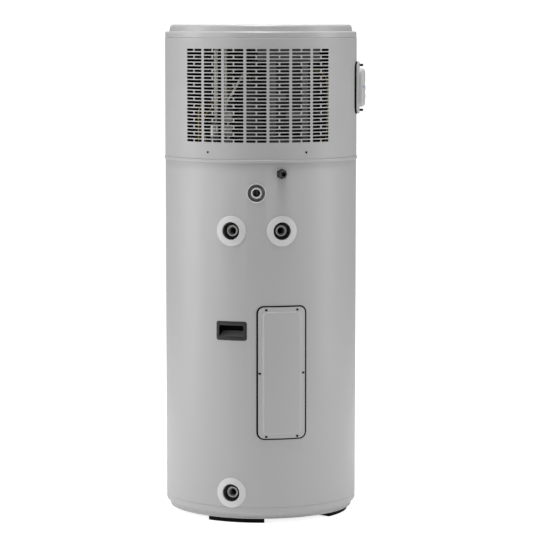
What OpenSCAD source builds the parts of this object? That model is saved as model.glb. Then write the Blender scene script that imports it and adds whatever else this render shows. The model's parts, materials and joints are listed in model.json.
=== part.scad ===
// Heat-pump tank water heater: an insulated steel tank with its refrigeration unit in the hood.
// The origin is on the casing's axis at floor level and +Z is up. The intake grille, the water
// ports and the access cover face -Y, and the control pod faces +X. Angles are measured from -Y
// towards +X.

/* [Casing] */
// Outer diameter of the casing
casing_d = 650; // [648:1:654]
// Overall height from the floor to the top of the lid
overall_h = 1660; // [1656:1:1668]
// Height of the joint between the casing and the seam bead
casing_top_z = 1205; // [1203:1:1206]
// Height of the joint between the hood and the lid
hood_top_z = 1617; // [1615:1:1619]
// Height of the feet
foot_h = 18.2; // [16:0.2:19]

/* [Grille] */
// Number of bays round the hood's grille
grille_bays = 7; // [3:1:7]
// Number of rows of slots
grille_rows = 27; // [9:1:27]
// Height of one slot
slot_h = 8; // [5:0.2:8.4]
// Distance from one row to the next
row_pitch = 11.515; // [11:0.005:11.6]

/* [Water ports] */
// Angle of the ports to each side of the middle
port_angle = 15; // [14:0.5:16]
// Bore radius of a three-quarter inch pipe socket
socket_bore_r = 12.06; // [11.5:0.02:12.5]
// Height of the hot outlet and the relief valve port
upper_port_z = 981.5; // [970:0.5:985]
// Height of the cold inlet
cold_port_z = 105; // [104:1:110]

/* [Tank] */
// Outer radius of the tank
tank_r = 255; // [250:1:256]
// Number of turns of the condenser coil
coil_turns = 10; // [4:1:10]

/* [Control pod] */
// Height of the middle of the control pod
pod_z = 1447; // [1440:1:1452]
// How far the push buttons stand out of the pod's face
button_rise = 1.2; // [0.8:0.1:1.4]

/* [Hidden] */
$fn = 96;

casing_r = casing_d / 2;
sheet = 1.5;                         // thickness of the casing's sheet steel
gap = 0.3;                           // clearance between neighbouring shells
seat_gap = 0.9;                      // clearance above and below the casing's sheet
pan_top_z = 56.2;
casing_bottom_z = pan_top_z + seat_gap + 0.1;
foot_r = 298;
foot_inner_r = 252;
foot_arc = 38.4;
foot_angles = [-14.3, 73, 165.7, 253];

// Tank
tank_t = 2.5;
tank_bottom_z = 62;
head_h = 60;                         // depth of each domed head
tank_top_z = tank_bottom_z + 998;
jacket_top_z = tank_top_z + 28;
coil_r = tank_r + 7.5;
coil_z = 500;
coil_pitch = 38;
coil_tube_r = 4.8;
coil_space_r = tank_r + 14;

// Ports
socket_r = 18.5;
socket_face_r = casing_r - 12;       // how far out the sockets' mouths reach
socket_root_r = tank_r - 12;
collar_r = 50.4;
// The collar's bevelled front in steps: how far in from its edge and how far out from the casing
collar_steps = [[0, 1.4], [1.2, 2.9], [3, 4.2], [5.4, 5.3], [8, 6]];
collar_bore_r = 29.4;
collar_wall = 2;
recess_floor_r = casing_r - 37;
drain_z = 1107;
drain_bore_r = 12.5;
gland_z = 1170.8;
gland_angle = 14.6;
gland_bore_r = 6.5;

// Handles and access cover
handle_z = 648.8;
handle_w = 106;
handle_h = 64;
pocket_w = 84;
pocket_h = 36;
pocket_depth = 38;
access_angle = 15.1;
access_z = 509.5;
access_w = 170.4;
access_h = 448;
element_z = 366;

// Hood
hood_r = casing_r + 1;
hood_t = 2;
seam_h = 12.5;
hood_bottom_z = casing_top_z + seam_h + gap;
lid_r = casing_r;
bay_pitch = 13.43;
bay_angle = 11.9;
slot_bridge = 0.72;                  // angle of the bridge in the middle of every other row
grille_top_z = 1576.7;

// Refrigeration unit
deck_z = casing_top_z + 2;
deck_t = 2.5;
floor_z = deck_z + deck_t;
compressor_x = -10;
compressor_y = -112;
compressor_r = 60;
accumulator_x = -100;
accumulator_y = -92;
evap_y = 62;
evap_depth = 40;
evap_w = 400;
evap_z = floor_z + 14;
evap_h = 352;
fan_z = 1412;
fan_y = 116;
fan_r = 146;
shaft_r = 4;
motor_y = 182;

// Control pod
pod_angle = 90;
pod_w = 128;
pod_h = 175;
pod_corner = 26;
pod_gasket_t = 6.4;
pod_base_r = hood_r + pod_gasket_t;
pod_flange_t = 4;
pod_face_r = 355;
pod_box_w = 116;
pod_box_h = 127;
pod_screw_dz = 76.2;
button_r = 7.3;
button_spread = 16;
side_button_dz = -31;

// --- Helpers ---------------------------------------------------------------------------------

// A local frame on the casing at one angle, height and radius: +Z outward, +Y up
module on_wall(angle, z, r) {
    rotate([0, 0, angle]) translate([0, -r, z]) rotate([90, 0, 0]) children();
}

// An upright tube
module ring(r_out, r_in, z0, z1) {
    translate([0, 0, z0]) difference() {
        cylinder(r = r_out, h = z1 - z0);
        translate([0, 0, -1]) cylinder(r = r_in, h = z1 - z0 + 2);
    }
}

// A curved block between two radii, two heights and two angles
module wall_block(r_in, r_out, z0, z1, a0, a1) {
    rotate([0, 0, a0 - 90]) rotate_extrude(angle = a1 - a0)
        translate([r_in, z0]) square([r_out - r_in, z1 - z0]);
}

// The points of a rectangle with round corners
function round_rect(w, h, r, n = 6) = [for (c = [0:3], i = [0:n])
    let (a = 90 * c + 90 * i / n, sx = (c == 0 || c == 3) ? 1 : -1, sy = c < 2 ? 1 : -1)
    [sx * (w / 2 - r) + r * cos(a), sy * (h / 2 - r) + r * sin(a)]];

// A rounded plate bent to follow the wall, between two radii
module wall_plate(w, h, corner, r_in, r_out, angle, z) {
    intersection() {
        ring(r_out, r_in, z - h, z + h);
        on_wall(angle, z, r_in - 20)
            linear_extrude(r_out - r_in + 40) polygon(round_rect(w, h, corner));
    }
}

function unit(v) = v / norm(v);

// A route whose corners are rounded by quadratic curves of about the given size
function smooth_route(p, size, n = 4) = let (m = len(p) - 1) concat([p[0]],
    [for (i = [1:m - 1], k = [0:n]) let (
        before = p[i] - min(size, norm(p[i] - p[i - 1]) * 0.49) * unit(p[i] - p[i - 1]),
        after = p[i] + min(size, norm(p[i + 1] - p[i]) * 0.49) * unit(p[i + 1] - p[i]),
        t = k / n)
        (1 - t) * (1 - t) * before + 2 * t * (1 - t) * p[i] + t * t * after], [p[m]]);

function route_direction(p, i) = i == 0 ? unit(p[1] - p[0])
    : i == len(p) - 1 ? unit(p[i] - p[i - 1])
    : unit(unit(p[i] - p[i - 1]) + unit(p[i + 1] - p[i]));

function square_to(d, u) = unit(u - (u * d) * d);

// Side directions carried along the route without twist
function route_sides(p, i = 0, u = [0, 0, 0]) = i >= len(p) ? [] :
    let (d = route_direction(p, i), seed = abs(d[2]) < 0.8 ? [0, 0, 1] : [1, 0, 0],
        side = square_to(d, i == 0 ? seed : u))
    concat([side], route_sides(p, i + 1, side));

// A round tube swept along a route as one polyhedron
module swept_tube(p, r, sides = 8) {
    u = route_sides(p);
    points = [for (i = [0:len(p) - 1], k = [0:sides - 1])
        let (d = route_direction(p, i), v = cross(d, u[i]), a = 360 * k / sides)
        p[i] + r * cos(a) * u[i] + r * sin(a) * v];
    last = (len(p) - 1) * sides;
    polyhedron(points, concat(
        [[for (k = [0:sides - 1]) k]],
        [for (i = [0:len(p) - 2], k = [0:sides - 1]) let (a = i * sides, b = (k + 1) % sides)
            [a + k, a + sides + k, a + sides + b, a + b]],
        [[for (k = [0:sides - 1]) last + sides - 1 - k]]));
}

// A screw with a domed pan head and a shank, head outward along +Z
module pan_screw(head_r, head_h, shank_r, shank_l) {
    cylinder(r = head_r, h = head_h * 0.55);
    translate([0, 0, head_h * 0.55]) cylinder(r1 = head_r, r2 = head_r * 0.62, h = head_h * 0.45);
    translate([0, 0, -shank_l]) cylinder(r = shank_r, h = shank_l);
}

// --- Base ------------------------------------------------------------------------------------

module feet() {
    color("#26282a") for (a = foot_angles) difference() {
        wall_block(foot_inner_r, foot_r, 0, foot_h, a - foot_arc / 2, a + foot_arc / 2);
        rotate([0, 0, a]) translate([0, -(foot_r + foot_inner_r) / 2, -1]) {
            cylinder(r = 4.2, h = foot_h + 2);
            cylinder(r = 9, h = 8);
        }
    }
}

module foot_bolts() {
    color("silver") for (a = foot_angles)
        rotate([0, 0, a]) translate([0, -(foot_r + foot_inner_r) / 2, 0]) {
            translate([0, 0, 7]) cylinder(r = 4, h = foot_h + 2);
            translate([0, 0, 2]) cylinder(r = 7.5, h = 5, $fn = 6);
        }
}

module base_pan() {
    t = 2.5;
    color("#b4b5b6") difference() {
        rotate_extrude() polygon([[0, foot_h], [306, foot_h], [308.6, foot_h + 1.1],
            [309.7, foot_h + 3], [309.7, 24.8], [casing_r - 0.3, 38.4], [casing_r - 0.3, pan_top_z],
            [casing_r - t, pan_top_z], [casing_r - t, 39.6], [309.7 - t, 26], [309.7 - t, foot_h + t],
            [0, foot_h + t]]);
        for (a = foot_angles) rotate([0, 0, a])
            translate([0, -(foot_r + foot_inner_r) / 2, foot_h - 1]) cylinder(r = 4.2, h = t + 2);
        for (a = [0:90:270]) rotate([0, 0, a + 30])
            translate([180, 0, foot_h - 1]) cylinder(r = 6, h = t + 2);
    }
}

// --- Casing ----------------------------------------------------------------------------------

module outer_casing() {
    color("#b9babb") difference() {
        ring(casing_r, casing_r - sheet, casing_bottom_z, casing_top_z - seat_gap);
        for (p = [[-port_angle, upper_port_z], [port_angle, upper_port_z], [-port_angle, cold_port_z]])
            on_wall(p[0], p[1], casing_r - 20) cylinder(r = collar_bore_r + collar_wall, h = 40);
        on_wall(0, drain_z, casing_r - 20) cylinder(r = 29.3, h = 40);
        on_wall(gland_angle, gland_z, casing_r - 20) cylinder(r = 10.2, h = 40);
        for (a = [-port_angle, 180 - port_angle]) on_wall(a, handle_z, casing_r - 20)
            linear_extrude(40) polygon(round_rect(pocket_w + 7, pocket_h + 14, 6));
        on_wall(access_angle, access_z, casing_r - 20)
            linear_extrude(40) polygon(round_rect(access_w - 26, access_h - 26, 12));
        for (s = access_screw_spots()) on_wall(access_angle + s[0], s[1], casing_r - 20)
            cylinder(r = 2.1, h = 40, $fn = 24);
    }
}

module handle_pocket_shape(extra) {
    // Side section of the pocket: the floor slopes up inward and the roof hooks up behind the lip
    rotate([90, 0, 90]) translate([0, 0, -(pocket_w / 2 + extra)]) linear_extrude(pocket_w + 2 * extra)
        polygon([[-casing_r - 8, handle_z - pocket_h / 2 - extra],
            [-casing_r + 2, handle_z - pocket_h / 2 - extra],
            [-casing_r + pocket_depth + extra, handle_z - 4 - extra],
            [-casing_r + pocket_depth + extra, handle_z + pocket_h / 2 + 4 + extra],
            [-casing_r + 12, handle_z + pocket_h / 2 + 4 + extra],
            [-casing_r + 6, handle_z + pocket_h / 2 + extra],
            [-casing_r - 8, handle_z + pocket_h / 2 + extra]]);
}

module handle_recess(angle) {
    color("#2b2d2f") difference() {
        union() {
            wall_plate(handle_w, handle_h, 7, casing_r, casing_r + 2.4, angle, handle_z);
            intersection() {
                rotate([0, 0, angle]) handle_pocket_shape(2.5);
                ring(casing_r + 1, 100, handle_z - 60, handle_z + 60);
            }
        }
        rotate([0, 0, angle]) handle_pocket_shape(0);
    }
}

module handle_recess_rear() { handle_recess(-port_angle); }
module handle_recess_front() { handle_recess(180 - port_angle); }

module insulation_jacket() {
    out_r = casing_r - sheet - 0.1;
    color("#e6d9a8") difference() {
        rotate_extrude() polygon([[0, foot_h + 3], [306, foot_h + 3], [306, 27], [out_r - 2.5, 41],
            [out_r - 2.5, pan_top_z], [out_r, pan_top_z + 1], [out_r, jacket_top_z], [0, jacket_top_z]]);
        tank_form(0);
        ring(coil_space_r, tank_r - 5, coil_z - 14, coil_z + coil_turns * coil_pitch + 14);
        for (p = [[-port_angle, upper_port_z], [port_angle, upper_port_z], [-port_angle, cold_port_z]]) {
            on_wall(p[0], p[1], 150) cylinder(r = socket_r, h = 200);
            on_wall(p[0], p[1], recess_floor_r) cylinder(r = collar_bore_r + collar_wall, h = 60);
        }
        for (a = [-port_angle, 180 - port_angle]) rotate([0, 0, a]) handle_pocket_shape(2.5);
        wall_block(tank_r - 12, 340, 300, 470, access_angle - 13.8, access_angle + 13.8);
        wall_block(coil_space_r + 18, 340, 469, 706, access_angle - 13.8, access_angle + 13.8);
        on_wall(0, drain_z, casing_r - 14) cylinder(r = 30, h = 30);
        for (s = access_screw_spots()) on_wall(access_angle + s[0], s[1], casing_r - 20)
            cylinder(r = 3, h = 40, $fn = 24);
        translate([0, 0, tank_top_z - 20]) cylinder(r = 30, h = 60);
        for (a = foot_angles) rotate([0, 0, a])
            translate([0, -(foot_r + foot_inner_r) / 2, foot_h - 1]) cylinder(r = 6, h = 26);
    }
}

// The tank's outer form shrunk by an amount: a cylinder with half-ellipse heads
module tank_form(shrink) {
    r = tank_r - shrink;
    h = head_h - shrink;
    n = 14;
    low = tank_bottom_z + head_h;
    high = tank_top_z - head_h;
    rotate_extrude() polygon(concat(
        [for (i = [0:n]) [r * sin(90 * i / n), low - h * cos(90 * i / n)]],
        [for (i = [0:n]) [r * cos(90 * i / n), high + h * sin(90 * i / n)]]));
}

module tank_shell() {
    boss_r = 56;
    color("#8d9aa6") difference() {
        union() {
            tank_form(0);
            on_wall(access_angle, element_z, tank_r - 16) cylinder(r = boss_r, h = 23);
            translate([0, 0, tank_top_z - 6]) cylinder(r = 22, h = 8);
        }
        difference() {
            tank_form(tank_t);
            on_wall(access_angle, element_z, tank_r - 16) cylinder(r = boss_r, h = 23);
        }
        on_wall(access_angle, element_z, tank_r - 30) cylinder(r = 40, h = 60);
        for (p = [[-port_angle, upper_port_z], [port_angle, upper_port_z], [-port_angle, cold_port_z]])
            on_wall(p[0], p[1], 150) cylinder(r = socket_r, h = 200);
        translate([0, 0, tank_top_z - 20]) cylinder(r = 13, h = 40);
        for (i = [0:5]) on_wall(access_angle, element_z, tank_r - 10) rotate([0, 0, 60 * i])
            translate([48, 0, 0]) cylinder(r = 4, h = 40, $fn = 32);
    }
}

// --- Water ports -----------------------------------------------------------------------------

module pipe_socket(angle, z, root_r) {
    color("#9a9a98") on_wall(angle, z, root_r) difference() {
        cylinder(r = socket_r, h = socket_face_r - root_r);
        translate([0, 0, -1]) cylinder(r = socket_bore_r, h = socket_face_r - root_r + 2);
        translate([0, 0, socket_face_r - root_r - 1.5])
            cylinder(r1 = socket_bore_r, r2 = socket_bore_r + 2, h = 2);
    }
}

module cold_inlet_socket() { pipe_socket(-port_angle, cold_port_z, 180); }
module hot_outlet_socket() { pipe_socket(-port_angle, upper_port_z, socket_root_r); }
module relief_valve_socket() { pipe_socket(port_angle, upper_port_z, socket_root_r); }

// A bevelled disc that follows the casing, with a sleeve and a floor round the socket
module port_collar(angle, z) {
    inner_r = recess_floor_r + 0.5;
    color("#d6d7d8") difference() {
        union() {
            for (s = collar_steps) intersection() {
                ring(casing_r + s[1], casing_r, z - 60, z + 60);
                on_wall(angle, z, casing_r - 20) cylinder(r = collar_r - s[0], h = 40);
            }
            intersection() {
                on_wall(angle, z, inner_r) cylinder(r = collar_bore_r + collar_wall, h = 60);
                ring(casing_r + 1, 100, z - 60, z + 60);
            }
        }
        on_wall(angle, z, inner_r + 2) cylinder(r = collar_bore_r, h = 60);
        on_wall(angle, z, inner_r - 10) cylinder(r = socket_r + 0.4, h = 60);
    }
}

module cold_inlet_collar() { port_collar(-port_angle, cold_port_z); }
module hot_outlet_collar() { port_collar(-port_angle, upper_port_z); }
module relief_valve_collar() { port_collar(port_angle, upper_port_z); }

module drain_trim_ring() {
    color("#c9cacb") difference() {
        intersection() {
            ring(casing_r + 2.6, casing_r, drain_z - 40, drain_z + 40);
            on_wall(0, drain_z, casing_r - 10) cylinder(r = 32.3, h = 30);
        }
        on_wall(0, drain_z, casing_r - 10) cylinder(r = 28.9, h = 30);
    }
}

module drain_grommet() {
    color("#707274") on_wall(0, drain_z, casing_r - 10) difference() {
        union() {
            cylinder(r = 28.7, h = 10.6);
            cylinder(r = 24.5, h = 11.4);
        }
        translate([0, 0, -1]) cylinder(r = 18, h = 20);
        translate([0, 0, 9.8]) ring(22.4, 20.6, 0, 5);
    }
}

module condensate_outlet_tube() {
    elbow_r = 240;
    color("#c2c3c4") difference() {
        union() {
            on_wall(0, drain_z, elbow_r) cylinder(r = 15, h = casing_r - elbow_r - 2);
            on_wall(0, drain_z, casing_r - 12) cylinder(r = 18, h = 14.4);
            translate([0, -elbow_r, drain_z - 16]) cylinder(r = 16, h = 48);
        }
        on_wall(0, drain_z, elbow_r) cylinder(r = drain_bore_r, h = 100);
        translate([0, -elbow_r, drain_z - 12]) cylinder(r = 13, h = 60);
    }
}

// --- Cable gland -----------------------------------------------------------------------------

module cable_gland_body() {
    hex_r = 17.6;
    color("#1d1f20") on_wall(gland_angle, gland_z, casing_r) difference() {
        union() {
            translate([0, 0, 1]) rotate([0, 0, 30]) cylinder(r = hex_r, h = 9, $fn = 6);
            translate([0, 0, -16]) cylinder(r = 10, h = 18);
            translate([0, 0, 9]) cylinder(r = 10.4, h = 11);
        }
        translate([0, 0, -17]) cylinder(r = gland_bore_r, h = 40);
    }
}

module cable_gland_nut() {
    hex_r = 15.4;
    color("#1d1f20") on_wall(gland_angle, gland_z, casing_r) difference() {
        union() {
            translate([0, 0, 11]) cylinder(r = hex_r, h = 13, $fn = 6);
            translate([0, 0, 24]) cylinder(r1 = 12.8, r2 = 12, h = 5);
            translate([0, 0, 29]) cylinder(r1 = 12, r2 = 9.4, h = 6);
        }
        translate([0, 0, 10.5]) cylinder(r = 10.4, h = 9.5);
        translate([0, 0, 10]) cylinder(r = gland_bore_r, h = 30);
    }
}

module cable_gland_locknut() {
    color("#1d1f20") on_wall(gland_angle, gland_z, casing_r - 9) difference() {
        cylinder(r = 16.5, h = 6, $fn = 6);
        translate([0, 0, -1]) cylinder(r = 10, h = 8);
    }
}

// --- Access cover ----------------------------------------------------------------------------

// Angle offset and height of each of the cover's six screws
function access_screw_spots() = concat(
    [for (s = [-1, 1], z = [296, 720]) [s * 9.25, z]],
    [for (s = [-1, 1]) [s * 13.05, 508]]);

module access_gasket() {
    color("#2c2c2c") difference() {
        wall_plate(access_w, access_h, 24, casing_r, casing_r + 2.4, access_angle, access_z);
        on_wall(access_angle, access_z, casing_r - 20)
            linear_extrude(40) polygon(round_rect(access_w - 24, access_h - 24, 13));
        for (s = access_screw_spots()) on_wall(access_angle + s[0], s[1], casing_r - 20)
            cylinder(r = 2.1, h = 40, $fn = 24);
    }
}

module access_cover() {
    face_r = casing_r + 2.4;
    color("#b9babb") difference() {
        union() {
            wall_plate(access_w - 11.2, access_h - 9.2, 20, face_r, face_r + 1.2, access_angle, access_z);
            wall_plate(131, 410, 15, face_r, face_r + 3.4, access_angle, access_z);
            wall_plate(123, 402, 11, face_r, face_r + 5, access_angle, access_z);
        }
        wall_plate(127, 406, 13, face_r - 1, face_r + 2, access_angle, access_z);
        wall_plate(119, 398, 9, face_r - 1, face_r + 3.8, access_angle, access_z);
        for (s = access_screw_spots()) on_wall(access_angle + s[0], s[1], casing_r - 20)
            cylinder(r = 2.1, h = 40, $fn = 24);
    }
}

module access_screws() {
    color("#202224") for (s = access_screw_spots())
        on_wall(access_angle + s[0], s[1], casing_r + 3.75) pan_screw(3.6, 2.2, 2, 10);
}

// --- Element, thermostat, anode ----------------------------------------------------------------

module element_flange() {
    color("#7d8083") on_wall(access_angle, element_z, tank_r + 10) difference() {
        cylinder(r = 56, h = 8);
        translate([0, 0, -1]) cylinder(r = 20, h = 10);
        for (i = [0:5]) rotate([0, 0, 60 * i]) translate([48, 0, -1]) cylinder(r = 4, h = 10, $fn = 32);
    }
}

module element_gasket() {
    color("#3a2a26") on_wall(access_angle, element_z, tank_r + 7) difference() {
        cylinder(r = 56, h = 3);
        translate([0, 0, -1]) cylinder(r = 40, h = 5);
        for (i = [0:5]) rotate([0, 0, 60 * i]) translate([48, 0, -1]) cylinder(r = 4, h = 5, $fn = 32);
    }
}

module element_bolts() {
    color("silver") on_wall(access_angle, element_z, tank_r + 18) for (i = [0:5])
        rotate([0, 0, 60 * i]) translate([48, 0, 0]) {
            cylinder(r = 7, h = 5, $fn = 6);
            translate([0, 0, -17]) cylinder(r = 4, h = 17, $fn = 32);
        }
}

module heating_element() {
    reach = 260;
    color("#b0743c") on_wall(access_angle, element_z, tank_r) {
        difference() {
            union() {
                translate([0, 0, 18]) cylinder(r = 27, h = 10, $fn = 6);
                translate([0, 0, -6]) cylinder(r = 20, h = 24);
            }
            for (x = [-9, 9]) translate([x, 0, 22]) cylinder(r = 4, h = 8, $fn = 32);
        }
        for (x = [-9, 9]) translate([x, 0, 22]) cylinder(r = 2, h = 14, $fn = 32);
        for (a = [0, 60, 120]) rotate([0, 0, a])
            swept_tube(smooth_route([[-14, 0, -6], [-14, 0, -reach], [14, 0, -reach], [14, 0, -6]],
                13.5), 3.6);
    }
}

module safety_thermostat() {
    color("#e8e4da") on_wall(access_angle, 447, tank_r + 0.6) difference() {
        union() {
            translate([-22, -16, 0]) cube([44, 32, 18]);
            translate([0, 0, 18]) cylinder(r = 7, h = 5);
        }
        for (x = [-15, 15]) translate([x, 0, 10]) cylinder(r = 2, h = 10, $fn = 24);
    }
}

module magnesium_anode() {
    color("#a8acad") {
        translate([0, 0, tank_top_z - 470]) cylinder(r = 11, h = 454);
        translate([0, 0, tank_top_z - 16]) cylinder(r = 13, h = 18);
        translate([0, 0, tank_top_z + 2]) cylinder(r = 20, h = 14, $fn = 6);
    }
}

module condenser_coil() {
    turn = 30;
    route = [for (i = [0:coil_turns * turn]) let (a = 360 * i / turn)
        [coil_r * sin(a), -coil_r * cos(a), coil_z + coil_pitch * i / turn]];
    color("#b87333") swept_tube(route, coil_tube_r);
}

// --- Hood ------------------------------------------------------------------------------------

module seam_ring() {
    z = casing_top_z;
    color("#bfc0c1") rotate_extrude() polygon([[casing_r - 3, z + 0.1], [casing_r + 2, z + 0.1],
        [casing_r + 2.8, z + 1], [casing_r + 3, z + 2], [casing_r + 3, z + 8], [casing_r + 2.2, z + 10.4],
        [casing_r + 0.6, z + seam_h - 0.6], [casing_r - 0.6, z + seam_h], [casing_r - 3, z + seam_h]]);
}

module condensate_tray() {
    color("#3b3f42") difference() {
        rotate_extrude() polygon([[0, 1134], [300, 1134], [300, deck_z - 6],
            [casing_r - sheet - 1, deck_z - 6], [casing_r - sheet - 1, deck_z - 2.2],
            [296, deck_z - 2.2], [296, 1138], [0, 1138]]);
        translate([0, -240, 1130]) cylinder(r = 16, h = 20);
    }
}

module deck_plate() {
    color("#9fa3a6") difference() {
        translate([0, 0, deck_z - 1.9]) cylinder(r = casing_r - 3.4, h = deck_t + 1.9);
        translate([-evap_w / 2 + 20, evap_y + 2, deck_z - 5]) cube([evap_w - 40, evap_depth - 4, 12]);
        for (p = [[compressor_x - 90, compressor_y + 60], [140, -150]])
            translate([p[0], p[1], deck_z - 5]) cylinder(r = 8, h = 12);
    }
}

// One row's slots in one bay: every other row has a bridge in the middle
module bay_slots(row, centre) {
    z = grille_top_z - row * row_pitch;
    half = bay_angle / 2;
    spans = row % 2 == 0 ? [[-half, -slot_bridge / 2], [slot_bridge / 2, half]] : [[-half, half]];
    for (s = spans)
        wall_block(hood_r - 5, hood_r + 5, z - slot_h / 2, z + slot_h / 2, centre + s[0], centre + s[1]);
}

module hood_half(facing) {
    edge = 0.03;
    color("#b9babb") difference() {
        wall_block(hood_r - hood_t, hood_r, hood_bottom_z, hood_top_z - gap,
            facing - 90 + edge, facing + 90 - edge);
        for (row = [0:grille_rows - 1], bay = [0:grille_bays - 1])
            bay_slots(row, facing + (bay - (grille_bays - 1) / 2) * bay_pitch);
        for (s = [-30, 30]) on_wall(facing + s, 1240, hood_r - 10) cylinder(r = 2.1, h = 20, $fn = 24);
        on_wall(pod_angle, pod_z, hood_r - 10) cylinder(r = 18, h = 20);
        for (dz = [-pod_screw_dz, pod_screw_dz])
            on_wall(pod_angle, pod_z + dz, hood_r - 10) cylinder(r = 2.1, h = 20, $fn = 24);
    }
}

module hood_rear() { hood_half(0); }
module hood_front() { hood_half(180); }

module hood_screws() {
    color("#202224") for (a = [-30, 30, 150, 210])
        on_wall(a, 1240, hood_r + 0.05) pan_screw(3.5, 2.4, 2, 9);
}

module top_lid() {
    t = 3;
    n = 6;
    corner = 8;
    ledge = hood_top_z + 19.8;
    cap_r = 311.2;
    function cap_edge(inset) = [for (i = [0:n]) let (a = 90 * i / n)
        [cap_r - 3.2 - corner + (corner - inset) * cos(a), overall_h - corner + (corner - inset) * sin(a)]];
    function ledge_edge(inset) = [for (i = [0:n]) let (a = 90 * i / n)
        [lid_r - 5 + (5 - inset) * cos(a), ledge - 5 + (5 - inset) * sin(a)]];
    color("#bebfc0") rotate_extrude() polygon(concat(
        [[lid_r, hood_top_z]], ledge_edge(0), [[cap_r, ledge]], cap_edge(0), [[0, overall_h]],
        [[0, overall_h - t]], [for (i = [n:-1:0]) cap_edge(t)[i]], [[cap_r - t, ledge - t]],
        [for (i = [n:-1:0]) ledge_edge(t)[i]], [[lid_r - t, hood_top_z]]));
}

// --- Refrigeration unit ------------------------------------------------------------------------

module compressor() {
    top = floor_z + 262;
    n = 8;
    color("#17181a") translate([compressor_x, compressor_y, 0]) {
        rotate_extrude() polygon(concat([[0, floor_z + 16], [compressor_r - 16, floor_z + 16]],
            [for (i = [1:n]) let (a = 90 * i / n)
                [compressor_r - 16 + 16 * sin(a), floor_z + 32 - 16 * cos(a)]],
            [for (i = [0:n]) let (a = 90 * i / n)
                [compressor_r - 26 + 26 * cos(a), top - 26 + 26 * sin(a)]],
            [[0, top]]));
        translate([0, 0, top - 1]) cylinder(r = 24, h = 14);
        difference() {
            translate([0, 0, floor_z + 11]) linear_extrude(5.5)
                polygon([for (i = [0:2], k = [-1, 1]) 88 * [cos(120 * i + 12 * k), sin(120 * i + 12 * k)]]);
            for (i = [0:2]) rotate([0, 0, 120 * i]) translate([76, 0, floor_z]) cylinder(r = 6, h = 30);
        }
    }
}

module compressor_grommets() {
    color("#101112") translate([compressor_x, compressor_y, 0]) for (i = [0:2])
        rotate([0, 0, 120 * i]) translate([76, 0, floor_z + 0.1]) difference() {
            union() {
                cylinder(r = 11, h = 10.8);
                cylinder(r = 6, h = 18);
                translate([0, 0, 16.6]) cylinder(r = 11, h = 4);
            }
            translate([0, 0, -1]) cylinder(r = 3.2, h = 30);
        }
}

module accumulator() {
    color("#1b1c1e") translate([accumulator_x, accumulator_y, floor_z + 60.1]) {
        cylinder(r = 8, h = 30);
        translate([0, 0, 26]) cylinder(r1 = 14, r2 = 26, h = 16);
        translate([0, 0, 42]) cylinder(r = 26, h = 130);
        translate([0, 0, 172]) cylinder(r1 = 26, r2 = 12, h = 16);
    }
}

module filter_drier() {
    color("#8e9193") translate([-146, -212, floor_z + 0.1]) {
        translate([0, 0, 22]) cylinder(r = 6, h = 26);
        translate([0, 0, 46]) cylinder(r1 = 8, r2 = 14.5, h = 8);
        translate([0, 0, 54]) cylinder(r = 14.5, h = 64);
        translate([0, 0, 118]) cylinder(r1 = 14.5, r2 = 7.5, h = 8);
    }
}

module expansion_valve() {
    color("#9da0a1") translate([-100, -200, floor_z + 0.1]) {
        translate([-8, -8, 0]) cube([16, 16, 44]);
        translate([-12, -13, 44]) cube([24, 26, 26]);
        translate([0, 0, 70]) cylinder(r = 6, h = 14);
        translate([-13, -13, 84]) cube([26, 26, 32]);
        translate([0, 0, 116]) cylinder(r = 5, h = 14);
        translate([-13, -12, 130]) cube([26, 24, 30]);
    }
}

// Each pipe is a list of route points, its outer radius and its colour
pipes = [
    [[[-140, -214, 1336], [-140, -214, 1590], [-22, -112, 1590], [-22, -112, 1485]], 7, "#dcdcd8"],
    [[[-108, -205, 1370], [-108, -205, 1596], [-60, 20, 1596], [-226, 50, 1560], [-226, 84, 1560]], 5,
        "#cfcac2"],
    [[[-108, -207, 1398], [-92, -218, 1420], [-54, -218, 1488], [-40, -150, 1504], [-2, -124, 1504],
        [-2, -124, 1485]], 4, "#b5a58f"],
    [[[-100, -92, 1457.7], [-100, -92, 1510], [-120, 20, 1530], [-226, 50, 1520], [-226, 84, 1520]], 6,
        "#b87333"],
    [[[-100, -92, 1269.5], [-100, -92, 1250], [-70.9, -102.8, 1250]], 5, "#b87333"],
    [[[-146, -212, 1231.5], [-146, -212, 1215], [-190, -120, 1216], [-226, 50, 1250], [-226, 84, 1250]], 4,
        "#b87333"]];

module refrigerant_pipes() {
    for (p = pipes) color(p[2]) swept_tube(smooth_route(p[0], 22), p[1]);
}

module evaporator_fins() {
    pitch = 5;
    count = floor((evap_w - 12) / pitch);
    color("#c7cbce") {
        translate([-evap_w / 2 + 6, evap_y, evap_z]) linear_extrude(evap_h) {
            translate([0, evap_depth / 2 - 1]) square([count * pitch, 2]);
            for (i = [0:count - 1]) translate([i * pitch, 0]) square([0.8, evap_depth]);
        }
        for (x = [-evap_w / 2, evap_w / 2 - 2]) translate([x, evap_y, evap_z - 14])
            cube([2, evap_depth, evap_h + 14]);
    }
}

// The hairpin bends at both ends of the evaporator
module evaporator_tubes() {
    color("#b87333") for (side = [-1, 1], i = [0:8])
        translate([side * (evap_w / 2 + 0.1), evap_y + evap_depth / 2, evap_z + 20 + 38 * i])
            rotate([side * 50, 0, 0]) rotate([0, 0, -90 * side])
                rotate_extrude(angle = 180) translate([12, 0]) circle(r = 4);
}

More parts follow.
